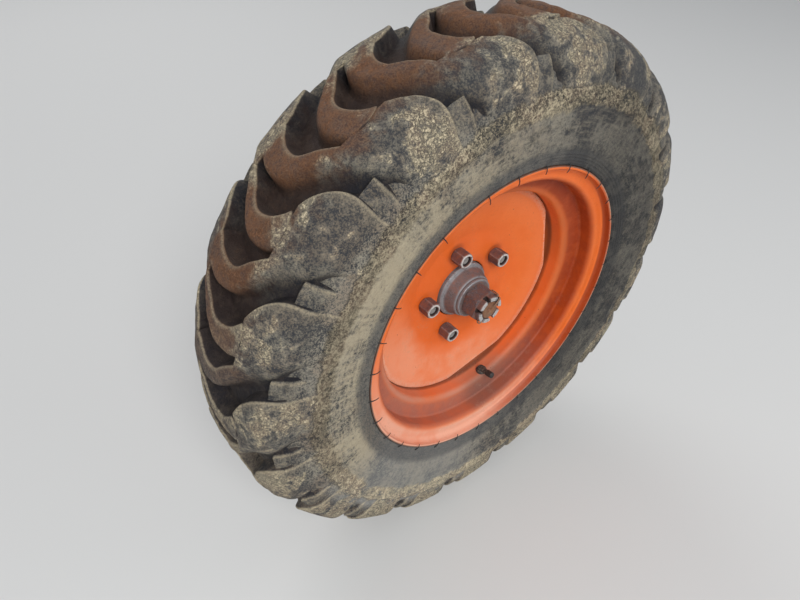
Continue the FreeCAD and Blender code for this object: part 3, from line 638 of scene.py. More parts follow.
def put(name, shells, material, body, replaced=(), numbers=None, sharp=40.0, merge=True):
    """Puts closed shells of points and four-cornered faces into one mesh, set on its body.

    Shells whose faces point inwards are turned, and points that fall together at a pole are merged.
    Numbers are named values, one for each point.
    """
    all_points, all_faces, start = [], [], 0
    for points, faces in shells:
        if signed_volume(points, faces) < 0:
            faces = faces[:, ::-1]
        all_points.append(points)
        all_faces.append(faces + start)
        start += len(points)
    points = np.concatenate(all_points)
    faces = np.concatenate(all_faces)
    mesh = bpy.data.meshes.new(name)
    mesh.vertices.add(len(points))
    mesh.vertices.foreach_set("co", points.astype(np.float32).ravel())
    mesh.loops.add(faces.size)
    mesh.loops.foreach_set("vertex_index", faces.astype(np.int32).ravel())
    mesh.polygons.add(len(faces))
    mesh.polygons.foreach_set("loop_start", np.arange(0, faces.size, 4, dtype=np.int32))
    mesh.polygons.foreach_set("loop_total", np.full(len(faces), 4, dtype=np.int32))
    mesh.update(calc_edges=True)
    mesh.validate()
    for label, values in (numbers or {}).items():
        mesh.attributes.new(label, "FLOAT", "POINT").data.foreach_set("value", values.astype(np.float32))
    if merge:
        work = bmesh.new()
        work.from_mesh(mesh)
        bmesh.ops.remove_doubles(work, verts=work.verts, dist=1e-6)
        work.to_mesh(mesh)
        work.free()
    mesh.polygons.foreach_set("use_smooth", np.ones(len(mesh.polygons), bool))
    mesh.set_sharp_from_angle(angle=math.radians(sharp))
    mesh.materials.append(material)
    piece = bpy.data.objects.new(name, mesh)
    bpy.context.scene.collection.objects.link(piece)
    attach(piece, body)
    for node in replaced:
        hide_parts(node)


def full_turn(columns):
    """Angles of evenly spaced columns round a whole turn."""
    return np.arange(columns) * TURN / columns


def around(radius, offset, angle):
    """Points at (radius cos a, -offset, radius sin a), for arrays that are spread over one another."""
    radius, offset, angle = np.broadcast_arrays(radius, offset, angle)
    return np.stack([radius * np.cos(angle), -offset, radius * np.sin(angle)], -1)


def from_axle(points):
    """Each point's distance from the axle."""
    return np.hypot(points[:, 0], points[:, 2])


def round_the_axle(section, columns):
    """A closed section of (offset along -Y, radius) carried round the axle, one column for each angle."""
    points = around(section[:, 1:2], section[:, 0:1], full_turn(columns)).reshape(-1, 3)
    return points, grid_faces(len(section), columns, True, True)


def turned_on(section, origin, axis, columns, radius_of=None):
    """A section of (length along the axis, radius) carried round any axis, closed at both ends.

    A point is origin + length * axis + radius * (cos a * first + sin a * second), where first and
    second are unit directions at right angles to the axis and to each other.
    """
    axis = np.asarray(axis, float) / np.linalg.norm(axis)
    helper = (0.0, 0.0, 1.0) if abs(axis[2]) < 0.9 else (1.0, 0.0, 0.0)
    first = np.cross(helper, axis)
    first = first / np.linalg.norm(first)
    second = np.cross(axis, first)
    angle = full_turn(columns)
    length, radius = section[:, 0:1] + 0 * angle, section[:, 1:2] + 0 * angle
    if radius_of:
        radius = radius_of(length, radius, angle)
    ring = np.cos(angle)[:, None] * first + np.sin(angle)[:, None] * second
    points = np.asarray(origin, float) + length[..., None] * axis + radius[..., None] * ring
    return points.reshape(-1, 3), grid_faces(len(section), columns, False, True)


def swept(path, widths, across, columns):
    """A bar with an oval section carried along a path in a plane, closed to a point at both ends.

    At each path point the section is cos a * width * across + sin a * thickness * (across x tangent).
    """
    tangent = np.gradient(path, axis=0)
    tangent = tangent / np.linalg.norm(tangent, axis=1)[:, None]
    across = np.asarray(across, float)
    up = np.cross(across, tangent)
    angle = full_turn(columns)[:, None]
    width, thickness = widths[:, 0][:, None, None], widths[:, 1][:, None, None]
    rows = path[:, None] + np.cos(angle) * across * width + np.sin(angle) * up[:, None] * thickness
    first = np.repeat(path[:1, None], columns, axis=1)
    last = np.repeat(path[-1:, None], columns, axis=1)
    rows = np.concatenate([first, rows, last])
    return rows.reshape(-1, 3), grid_faces(len(rows), columns, False, True)


def bent_path(corner_points, bend, steps=6):
    """A path through points whose inner corners are quadratic Beziers reaching bend along each side."""
    path = [corner_points[0]]
    for before, here, after in zip(corner_points[:-2], corner_points[1:-1], corner_points[2:]):
        start = here + (before - here) / np.linalg.norm(before - here) * bend
        end = here + (after - here) / np.linalg.norm(after - here) * bend
        for t in np.linspace(0, 1, steps):
            path.append((1 - t) ** 2 * start + 2 * t * (1 - t) * here + t ** 2 * end)
    path.append(corner_points[-1])
    return np.array(path)


# Tyre

LUG_COUNT = 19
COLUMNS_PER_LUG = 25
PITCH = TURN / LUG_COUNT
FIRST_LUG = math.radians(111.8)
TREAD_FULLNESS = 2.58

# The outboard row of lugs, and the inboard row, mirrored and half a pitch on.
OUTBOARD = ((1, 0.0),)
INBOARD = ((-1, 0.5),)

# Radius and distance from the mid-plane of points on the sidewall, and where its fine ribs start
# and end.
WALL_RADII = np.array([0.2255, 0.232, 0.245, 0.262, 0.282, 0.300, 0.312, 0.322, 0.3301])
WALL_OFFSETS = np.array([0.0846, 0.0868, 0.0893, 0.0915, 0.0937, 0.0945, 0.0932, 0.0900, 0.0852])
FIRST_RIB, LAST_RIB, RIB_PITCH = 0.2275, 0.2443, 0.0042

# How far the rubber stands off the rim where it sits and at the lip.
SEAT_GAP, LIP_GAP = 0.0003, 0.0004

# Sections across an outboard lug: distance from the mid-plane in mm, negative past it, then in
# degrees from the lug's corner on the shoulder the leading and trailing edges of its top, and how
# much further its leading and trailing flanks reach at their foot.
SHOULDER_SECTIONS = np.array([
    (44.5, 5.6, 16.4, 0.3, 3.8), (51.0, 3.8, 14.8, 0.6, 4.8), (66.0, 1.2, 12.9, 0.6, 5.0),
    (82.0, 0.0, 12.2, 0.5, 3.6), (92.0, 0.2, 11.0, 0.5, 1.8)])
NOSE_SECTIONS = np.array([
    (-42.0, 16.4, 22.8, 0.3, 0.6), (-28.0, 18.4, 23.6, 0.5, 1.0), (-14.0, 19.4, 23.8, 0.6, 1.4),
    (7.0, 19.2, 22.9, 0.5, 1.8), (23.0, 17.0, 20.5, 0.3, 2.4), (43.3, 14.6, 16.8, 0.0, 3.6)])

# Along the (angle, height share) section of a lug, the row of the painted highlight on the leading edge of
# its top.
LIT_ROW = 10.5


def tread_curve(offset, half_width, crown, shoulder):
    """Radius across the tread: shoulder + (crown - shoulder) (1 - |offset / half width|^n)^(1 / n)."""
    reach = np.minimum(1.0, np.abs(offset) / half_width)
    rise = (1 - reach ** TREAD_FULLNESS) ** (1 / TREAD_FULLNESS)
    return shoulder + (crown - shoulder) * rise


def tread_floor(offset, sizes):
    """The (offset, radius) of the tread's floor under a place on top of a lug."""
    depth = 0.007
    root_half = sizes.tread_half_width - depth
    root_offset = offset * root_half / sizes.tread_half_width
    crown = sizes.tyre_radius - sizes.lug_height
    return root_offset, tread_curve(root_offset, root_half, crown, sizes.shoulder_radius)


def lug_top(offset, sizes):
    """The radius of the top of a lug at distances from the mid-plane."""
    return tread_curve(offset, sizes.tread_half_width, sizes.tyre_radius, sizes.shoulder_radius)


def carcass_section(sizes):
    """Half of the carcass's outer section in metres, from the toe of a bead to the crown.

    Bead seat, heel arc and flange arc follow the rim, then fine ribs on the wall beside the lip:
    rib height times sin^2, and a smooth curve through the wall's measured points up to the tread.
    """
    seat = sizes.seat_radius + SEAT_GAP
    lip = sizes.rim_lip_radius + LIP_GAP
    heel = 0.0687
    bead = rounded([
        (0.047, seat), (heel, seat, 0.0055), (heel, lip - 0.0006, 0.0085), (0.0835, lip + 0.0002)], 6)
    wall_r = np.concatenate([
        np.arange(lip + 0.0010, 0.248, 0.00105), np.arange(0.249, 0.300, 0.0042),
        np.arange(0.300, 0.3301, 0.0030)])
    ribs = np.sin((wall_r - FIRST_RIB) / RIB_PITCH * math.pi) ** 2
    ribs = ribs * (wall_r > FIRST_RIB) * (wall_r < LAST_RIB)
    plain_ring = smooth_step(wall_r, 0.254, 0.2555) - smooth_step(wall_r, 0.288, 0.290)
    wall_x = through(WALL_RADII, WALL_OFFSETS, wall_r) + sizes.bead_rib * ribs + 0.0006 * plain_ring
    top = np.linspace(sizes.tread_half_width * 0.992, 0.0, 25)[:-1]
    top = top * (1 - 0.12 * np.sin(top / sizes.tread_half_width * math.pi))
    return np.concatenate([bead, np.stack([wall_x, wall_r], 1), np.stack(tread_floor(top, sizes), 1)])


def outward_normals(section):
    """Unit directions away from a section's middle, square to the line between each point's neighbours."""
    ahead = np.roll(section, -1, axis=0) - np.roll(section, 1, axis=0)
    normal = np.stack([-ahead[:, 1], ahead[:, 0]], 1)
    normal = normal / np.maximum(np.linalg.norm(normal, axis=1), 1e-9)[:, None]
    side = np.sign(np.sum(normal * (section - section.mean(axis=0)), axis=1))
    return normal * np.where(side == 0, 1.0, side)[:, None]


def make_carcass(sizes, material):
    """The tyre without its lugs.

    The section is carried round the axle, and every point is then pushed along the section's own
    normal by mud depth times noise in the band round the shoulder, and by a little noise elsewhere.
    """
    half = carcass_section(sizes)
    crown = np.array([[0.0, sizes.tyre_radius - sizes.lug_height]])
    outer = np.concatenate([half, crown, half[::-1] * (-1, 1)])
    inner = rounded([
        (-0.042, 0.1975, 0.002), (-0.0520, 0.2180, 0.010), (-0.0835, 0.292, 0.030),
        (-0.062, 0.3490, 0.030), (0.062, 0.3490, 0.030), (0.0835, 0.292, 0.030),
        (0.0520, 0.2180, 0.010), (0.042, 0.1975, 0.002)], 3)
    section = np.concatenate([outer, inner])
    rows, columns = len(section), LUG_COUNT * COLUMNS_PER_LUG
    points, faces = round_the_axle(section + (sizes.mid_plane, 0.0), columns)
    angle = np.tile(full_turn(columns), rows)
    offset, radius = np.repeat(section, columns, axis=0).T
    out_offset, out_radius = np.repeat(outward_normals(section), columns, axis=0).T
    is_outer = np.repeat(np.arange(rows) < len(outer), columns)
    bumps = rough_noise(points, 0.021, 3.0, 4)
    lumps = rough_noise(points, 0.055, 11.0, 2)
    ring = smooth_step(radius, 0.294, 0.304) * (1 - smooth_step(radius, 0.326, 0.336))
    tread = smooth_step(radius, 0.330, 0.345)
    push = sizes.mud_depth * ring * np.clip(0.55 + 0.7 * bumps + 0.4 * lumps, 0.0, 1.6)
    push = push + tread * 0.0014 * np.clip(bumps, -0.6, 1.0) + (1 - tread) * 0.00025 * lumps
    push = push * is_outer * smooth_step(radius, 0.2262, 0.2300)
    points = points + around(out_radius, out_offset, angle) * push[:, None]
    # Painted shade on the tread's floor just ahead of each lug.
    cavity = tread * is_outer * hollow_shade_share(offset / MM, angle)
    put(
        "tyre_carcass", [(points, faces)], material, "wheel", ["tyre"],
        {"cavity": cavity, "edge": 0 * cavity, "crest": 0 * cavity}, sharp=60.0, merge=False)


def edge_table(sections, at):
    """The four angles of a table of lug sections, at distances in mm from the mid-plane."""
    return np.stack([through(sections[:, 0], sections[:, place], at) for place in range(1, 5)], 1)


def lead_angle(offset):
    """Angle of a lug's leading edge at a distance in mm from the mid-plane, in degrees from its corner."""
    return np.where(
        offset > 44, edge_table(SHOULDER_SECTIONS, offset)[:, 0], edge_table(NOSE_SECTIONS, offset)[:, 0])


def hollow_shade_share(offset, angle):
    """How much painted shade the tread's floor gets: 1 just ahead of a lug's leading edge, 0.58 from 12
    degrees on.
    """
    share = 0 * angle
    for side, shift in OUTBOARD + INBOARD:
        own = side * offset * 92 / 85
        start = FIRST_LUG + shift * PITCH + np.radians(lead_angle(np.clip(own, -42, 92)))
        ahead = np.degrees((start - angle) % PITCH)
        near = 1 - 0.42 * smooth_step(ahead, 4.0, 12.0)
        share = np.maximum(share, near * (own > -44) * (own < 90))
    return share


def lug_lines(sizes):
    """Rows along a lug: its top line and its foot line, with the four angles at each row, in radians.

    The rows run up the shoulder, over the broad part, across the notch and along the nose, and end
    in a tongue whose width falls off as sqrt(1 - t^2).
    """
    climb = np.linspace(0.0, 1.0, 8)[:-1]
    shoulder = np.stack([0.0960 - 0.0040 * climb ** 1.6, 0.306 + 0.024 * climb], 1)
    shoulder_root = np.stack([0.0910 - 0.006 * climb, 0.303 + 0.022 * climb], 1)
    broad = np.concatenate([
        92 - 10 * np.linspace(0, 1, 9) ** 2, np.linspace(80.0, 45.2, 19), [44.9, 44.6]])
    nose = np.concatenate([[43.9, 43.5], np.linspace(42.6, -41.0, 38)])
    tongue = np.array([-42.5, -44.0, -45.3, -46.3, -47.0])
    broad_angles = edge_table(SHOULDER_SECTIONS, broad)
    nose_angles = edge_table(NOSE_SECTIONS, nose)
    lead, trail, lead_flank, trail_flank = nose_angles[-1]
    narrowing = np.sqrt(1 - ((-41.0 - tongue) / 6.4) ** 2)[:, None]
    centre = (lead + trail) / 2 + 0.5 * (1 - narrowing)
    half = (trail - lead) / 2 * narrowing
    tongue_angles = np.concatenate([
        centre - half, centre + half, lead_flank * narrowing, trail_flank * narrowing], axis=1)
    angles = np.concatenate([
        np.repeat(broad_angles[:1], len(climb), axis=0), broad_angles, nose_angles, tongue_angles])
    offset = np.concatenate([broad, nose, tongue]) * MM
    proud_tip = 0.0011 * smooth_step(-offset / MM, 36.0, 42.0)
    top = np.concatenate([shoulder, np.stack([offset, lug_top(offset, sizes) + proud_tip], 1)])
    root = np.concatenate([shoulder_root, np.stack(tread_floor(offset, sizes), 1)])
    return top, root, np.radians(angles)


def lug_section(angles, top, root):
    """Points across a lug in (angle, height share), rounded at both top edges and flared at its foot.

    Each edge is a quadratic Bezier whose middle point is the sharp corner, so it touches both sides.
    The trailing flank is long and ends in a Bezier that runs out on the tread's floor.
    """
    lead, trail, lead_flank, trail_flank = angles.T
    height = np.linalg.norm(top - root, axis=1)
    radius = top[:, 1]
    level, full = 0 * lead, 1 + 0 * lead

    def at(angle, share):
        return np.stack([angle, share], 1)

    def bezier(start, corner, end, steps):
        t = np.linspace(0, 1, steps)[:, None, None]
        return (1 - t) ** 2 * start + 2 * t * (1 - t) * corner + t ** 2 * end

    def along(start, end, steps):
        t = np.linspace(0, 1, steps + 1)[1:-1, None, None]
        return start + (end - start) * t

    sink = -0.0045 / height
    foot = lead - lead_flank
    lead_corner = at(lead, full)
    lead_foot = at(foot - 0.004, level)
    lead_low = lead_foot + (lead_corner - lead_foot) * 0.22
    lead_start = lead_corner + (lead_foot - lead_corner) * np.minimum(0.0028 / height, 0.4)[:, None]
    lead_end = lead_corner + at(0.0034 / radius, level)
    trail_corner = at(trail, full)
    trail_foot = at(trail + trail_flank, level)
    trail_start = trail_corner - at(0.0075 / radius, level)
    trail_end = trail_corner + (trail_foot - trail_corner) * 0.34
    low_start = trail_foot + (trail_corner - trail_foot) * 0.22
    low_end = trail_foot + at(0.0080 / radius, sink * 0.45)
    return np.concatenate([
        at(foot - 0.009, sink)[None], at(foot - 0.007, sink * 0.2)[None],
        bezier(at(foot - 0.0055, level + 0.02), lead_foot, lead_low, 3),
        along(lead_low, lead_start, 4),
        bezier(lead_start, lead_corner, lead_end, 6),
        along(lead_end, trail_start, 9),
        bezier(trail_start, trail_corner, trail_end, 6),
        along(trail_end, low_start, 4),
        bezier(low_start, trail_foot, low_end, 5),
        at(trail + trail_flank + 0.0100 / radius, sink)[None]])


def drawn_in(section, highest, narrow):
    """The last row of a section, held below a height share and narrowed about its middle."""
    row = section[:, -1:].copy()
    middle = row[:, :, 0].mean()
    row[:, :, 0] = middle + (row[:, :, 0] - middle) * narrow
    row[:, :, 1] = np.minimum(row[:, :, 1], highest)
    return row


def block_shell(top, root, section, side, start, seed, mid_plane):
    """One block of rubber: its section at each row, set between the foot line and the top line.

    The share of the way up gives a point's offset and radius, and its angle counts from the start.
    Noise then moves the points in or out, and the middle of each end row closes the block.
    """
    share = section[:, :, 1][:, :, None]
    offset, radius = np.moveaxis(root[None] + (top - root)[None] * share, 2, 0)
    angle = section[:, :, 0] + start
    points = around(radius, mid_plane + side * offset, angle)
    flat = points.reshape(-1, 3)
    wear = rough_noise(flat, 0.026, seed, 4).reshape(angle.shape)
    chips = rough_noise(flat, 0.008, seed + 7, 2).reshape(angle.shape)
    high = smooth_step(share[:, :, 0], 0.55, 1.0)
    push = high * (0.0010 * wear + 0.0005 * chips) + (1 - high) * 0.0009 * wear
    points = points + around(1.0, 0.0, angle) * push[:, :, None]
    ends = [np.repeat(row.mean(axis=0, keepdims=True), len(points), axis=0)
            for row in (points[:, :1], points[:, -1:])]
    return np.concatenate([ends[0], points, ends[1]], axis=1).reshape(-1, 3)


def put_blocks(name, sides, lines, section, numbers, seed, mid_plane, material):
    """A row of blocks on each of some sides of the tyre, one for each lug, with their mesh numbers."""
    faces = grid_faces(section.shape[0], section.shape[1] + 2, True, False)
    shells = []
    for number in range(LUG_COUNT):
        for side, shift in sides:
            start = FIRST_LUG + (number + shift) * PITCH
            own_seed = seed + number * 2.0 + shift
            shells.append((block_shell(*lines, section, side, start, own_seed, mid_plane), faces))
    closed = {
        label: np.tile(np.pad(values, ((0, 0), (1, 1)), mode="edge").ravel(), len(shells))
        for label, values in numbers.items()}
    put(name, shells, material, "wheel", ["tyre"], closed, sharp=60.0, merge=False)


def make_lugs(sizes, material):
    """An outboard row of lugs, and an inboard row half a pitch on and mirrored."""
    top, root, angles = lug_lines(sizes)
    section = lug_section(angles, top, root)
    past_end = np.array([(0.0016, 0.0), (0.0024, 0.0)])
    lines = np.concatenate([top, top[-1] - past_end]), np.concatenate([root, root[-1] - past_end])
    section = np.concatenate(
        [section, drawn_in(section, 0.86, 0.93), drawn_in(section, -0.12, 0.93)], axis=1)
    share = section[:, :, 1]
    count, rows = share.shape
    across = np.arange(count)[:, None] + 0 * share
    leading = 1 - smooth_step(across, 7.0, 9.5)
    trailing = smooth_step(across, count - 12.0, count - 6.0)
    tip = smooth_step(np.arange(rows) - (rows - 4), 0.5, 1.5)
    # cavity is painted shade on the leading flank, the low part of the trailing flank and the lug's end; edge
    # is a painted highlight on the leading edge of its top.
    numbers = {
        "cavity": np.maximum(np.maximum(leading, 0.7 * trailing * (1 - 0.7 * share)), tip[None]),
        "edge": np.exp(-((across - LIT_ROW) / 2.3) ** 2) * smooth_step(share, 0.7, 1.0),
        "crest": smooth_step(share, 0.80, 0.97)}
    for name, sides in (("tyre_lugs_outboard", OUTBOARD), ("tyre_lugs_inboard", INBOARD)):
        put_blocks(name, sides, lines, section, numbers, 0.0, sizes.mid_plane, material)


def make_shelves(sizes, material):
    """Low blocks that step up in the shoulder gaps, between each lug and the one before it.

    The same section as a lug's is used with steep flanks, its top lowered towards the foot line.
    """
    drop = 0.0050
    offset = np.array([92.0, 91.4, 90.4, 89.0, 87.4, 85.6, 84.0, 82.6, 82.0, 81.2]) * MM
    climb = np.linspace(0.0, 1.0, 4)[:-1]
    low = np.stack([0.0950 - 0.0045 * climb, 0.309 + 0.017 * climb], 1)
    top = np.stack([offset, lug_top(offset, sizes)], 1)
    root = np.stack(tread_floor(offset, sizes), 1)
    way = (root - top) / np.linalg.norm(root - top, axis=1)[:, None]
    top = top + way * drop * smooth_step(-offset / MM, -92.5, -90.0)[:, None]
    top, root = np.concatenate([low, top]), np.concatenate([low - (0.006, 0.002), root])
    section = lug_section(np.radians(np.tile([-3.9, 1.2, 0.45, 0.3], (len(top), 1))), top, root)
    section = np.concatenate([section, drawn_in(section, -0.15, 1.0)], axis=1)
    past_end = np.array([(0.0010, 0.0)])
    lines = np.concatenate([top, top[-1] - past_end]), np.concatenate([root, root[-1] - past_end])
    share = section[:, :, 1]
    across = np.arange(len(share))[:, None] + 0 * share
    # cavity is painted shade on the step's leading flank and a little all over; edge is a painted highlight
    # on the leading edge of its top.
    numbers = {
        "cavity": 0.75 * (1 - smooth_step(across, 7.0, 9.5)) + 0.10,
        "edge": np.exp(-((across - LIT_ROW) / 2.0) ** 2) * smooth_step(share, 0.7, 1.0),
        "crest": 0 * share}
    put_blocks(
        "tyre_shoulder_steps", OUTBOARD + INBOARD, lines, section, numbers, 90.0, sizes.mid_plane, material)


def make_whiskers(sizes, material):
    """Thin vent whiskers that stand from the rubber beside the rim and lie in over its lip."""
    shells = []
    foot_y = -(sizes.mid_plane + 0.0858)
    share = np.linspace(0, 1, 8)[:, None]
    lift = 0.0024 * np.sin(share * math.pi * 0.8) + 0.0003
    thick = np.linspace(0.00080, 0.00045, 8)
    for number in range(30):
        angle = math.radians(124.1 + 11.8 * number)
        sway = math.sin(number * 2.7) * 0.0016
        length = sizes.whisker_length * (0.85 + 0.3 * (math.sin(number * 5.3) * 0.5 + 0.5))
        out = np.array((math.cos(angle), 0.0, math.sin(angle)))
        along = np.array((-math.sin(angle), 0.0, math.cos(angle)))
        radius = sizes.rim_lip_radius + 0.0040 - length * share
        path = out * radius + along * sway * share ** 2 + np.array((0.0, 1.0, 0.0)) * (foot_y - lift)
        shells.append(swept(path, np.stack([thick, thick], 1), along, 6))
    put("tyre_whiskers", shells, material, "wheel")


# Hub, nuts and disc

STUD_CIRCLE = 0.070
FIRST_STUD = math.radians(31.5)
STUD_COUNT = 5
# How far each wheel nut is turned, in radians.
NUT_TWISTS = (0.0, 0.35, -0.28, 0.12, 0.5)
CASTLE_CORNER = math.radians(16.0)
PIN_ANGLE = math.radians(46.0)
# The middle of the first of the disc's four flats, and the radius of the rim's well round the disc.
FIRST_FLAT = math.radians(12.0)
WELL_RADIUS = 0.1697


def stud_places():
    """For each wheel stud its angle round the axle, its x and its z."""
    for number in range(STUD_COUNT):
        turn = FIRST_STUD + number * TURN / STUD_COUNT
        yield turn, STUD_CIRCLE * math.cos(turn), STUD_CIRCLE * math.sin(turn)


def hexagon_radius(angle, width, corner):
    """Radius of a hexagon across its flats at an angle, with corners held in by a rounder circle.

    Flat distance / cos(angle from the middle of the flat), then the p-norm blend of both radii.
    """
    to_flat = np.mod(angle, math.pi / 3) - math.pi / 6
    flat = width / 2 / np.cos(to_flat)
    power = 160.0
    return (flat ** -power + corner ** -power) ** (-1 / power)


def worn(points, patch, depth, seed):
    """Points moved by a little noise in each direction, for pitted and hammered metal."""
    shifts = [rough_noise(points, patch, seed + 17.0 * axis, 3) for axis in range(3)]
    return points + np.stack(shifts, 1) * depth


def make_wheel_nuts(sizes, material):
    """Five wheel nuts: cone foot in the disc, hexagon with pale corners, and a rubbed chamfered end.

    Each row has a height over the disc and a radius in mm, 1 where the row follows the hexagon, and
    how bright it is, below 0 for painted shade in the bore. Corners are paler by
    exp(-(angle from the corner / 0.07)^2): a painted highlight that brings out the facets, drawn as rubbed
    steel.
    """
    rows = np.array([
        (-4.0, 8.0, 0, 0), (-1.0, 9.8, 0, 0), (0.1, 10.4, 0, 0), (0.5, 11.2, 0, 0), (1.2, 11.9, 0, 0),
        (2.0, 12.7, 1, 0), (5.0, 12.7, 1, 0), (9.0, 12.7, 1, 0), (13.0, 12.7, 1, 0), (16.6, 12.7, 1, 0),
        (17.8, 12.5, 1, 0), (18.8, 12.1, 1, 0), (19.7, 11.5, 1, 0.1), (20.3, 10.9, 1, 0.4),
        (20.85, 10.2, 0, 1.0), (21.0, 9.7, 0, 1.0), (21.0, 8.8, 0, 1.0), (20.8, 8.1, 0, 0.3),
        (20.3, 7.5, 0, -0.3), (19.6, 7.1, 0, -0.8), (18.0, 7.05, 0, -1.0), (10.0, 7.05, 0, -1.0),
        (-4.0, 7.05, 0, -1.0)])
    height, widest, on_hexagon, shine = rows.T[:, :, None]
    angle = full_turn(72)
    hexagonal = hexagon_radius(angle, sizes.nut_width / MM, 12.55)
    round_part = np.minimum(widest, np.maximum(hexagonal, widest - 1))
    radius = np.where(on_hexagon > 0, np.minimum(hexagonal, widest), round_part) * MM
    from_corner = np.mod(angle + math.pi / 6, math.pi / 3) - math.pi / 6
    # Pale corners are a painted highlight for the facets, drawn as rubbed steel; rows below 0 are painted
    # shade in the bore.
    rubbed = shine + 0.22 * np.exp(-(from_corner / 0.07) ** 2) * (on_hexagon > 0)
    shells = []
    for number, (turn, x, z) in enumerate(stud_places()):
        points = around(radius, height * MM - DISC_FACE_Y, angle + turn + NUT_TWISTS[number]) + (x, 0.0, z)
        points = worn(points.reshape(-1, 3), 0.004, 0.00012, 3.0 + number)
        shells.append((points, grid_faces(*radius.shape, True, True)))
    nodes = ["wheel_nut_%d" % (number + 1) for number in range(STUD_COUNT)]
    put(
        "wheel_nuts", shells, material, "wheel", nodes,
        {"bright": np.tile(rubbed.ravel(), STUD_COUNT)}, sharp=17.0)


def make_studs(material):
    """Five studs: round heads behind the hub's flange and chamfered ends inside the nuts."""
    head, back, end = 0.2320, 0.2380, 0.2836
    section = np.array([
        (head, 0.0), (head, 0.0098), (head + 0.0010, 0.0110), (back, 0.0110), (back, 0.0070),
        (end - 0.0016, 0.0070), (end - 0.0004, 0.0059), (end, 0.0052), (end - 0.0003, 0.0036),
        (end - 0.0006, 0.0)])
    shells = [turned_on(section, (x, 0.0, z), (0.0, -1.0, 0.0), 32) for _, x, z in stud_places()]
    bright = np.repeat((section[:, 0] > end - 0.0010) * 0.8, 32)
    put(
        "studs", shells, material, "wheel", ["wheel_studs"],
        {"bright": np.tile(bright, STUD_COUNT)}, sharp=34.0)


def make_hub(material):
    """Hub casting: flange, chamfered pilot, tapering nose with a fillet, and the tapered bore.

    A rounded section is carried round the axle and roughened by noise where the casting is bare.
    """
    section = refined(rounded([
        (0.2890, 0.0180), (0.2890, 0.0330, 0.0024), (0.2712, 0.0394, 0.0020), (0.2710, 0.0412, 0.0006),
        (0.2688, 0.0440, 0.0010), (0.2520, 0.0440, 0.0012), (0.2520, 0.0880, 0.0020),
        (0.2380, 0.0880, 0.0020), (0.2380, 0.0460, 0.0030), (0.2260, 0.0340, 0.0060),
        (0.2080, 0.0340, 0.0010), (0.2080, 0.02205)], 4), 0.0022)
    points, faces = round_the_axle(section, 180)
    radius = from_axle(points)
    out = points * (1, 0, 1) / radius[:, None]
    lumps = rough_noise(points, 0.009, 21.0, 3) * 0.00030
    points = points + out * (lumps * smooth_step(radius, 0.0300, 0.0325))[:, None]
    outboard = -points[:, 1]
    front = smooth_step(outboard, 0.2610, 0.2650) * (1 - smooth_step(outboard, 0.2712, 0.2745)) * 0.85
    at_rim = smooth_step(radius, 0.0308, 0.0316)
    nose_rim = smooth_step(outboard, 0.2866, 0.2882) * at_rim
    # Painted shade on the hub's end where the washer lies on it.
    under_washer = smooth_step(outboard, 0.2880, 0.2889) * (1 - at_rim)
    put(
        "hub_casting", [(points, faces)], material, "wheel", ["hub"],
        {"bright": np.maximum(front, nose_rim * 0.8) - under_washer})


def make_washer(material):
    """Thick washer with a rounded edge, rubbed bright round its rim, with painted shade where it lies on the
    hub.
    """
    section = refined(rounded([
        (0.2890, 0.0155), (0.2890, 0.0310, 0.0006), (0.2930, 0.0310, 0.0008), (0.2940, 0.0300, 0.0004),
        (0.2940, 0.0155)], 3), 0.0025)
    points, faces = round_the_axle(section, 128)
    points = worn(points, 0.008, 0.00012, 31.0)
    at_foot = 1 - smooth_step(-points[:, 1], 0.2890, 0.2902)
    put(
        "hub_end_washer", [(points, faces)], material, "wheel", ["hub_washer"],
        # Below 0 at its foot: painted shade where it lies on the hub.
        {"bright": smooth_step(from_axle(points), 0.0280, 0.0300) - 1.6 * at_foot})


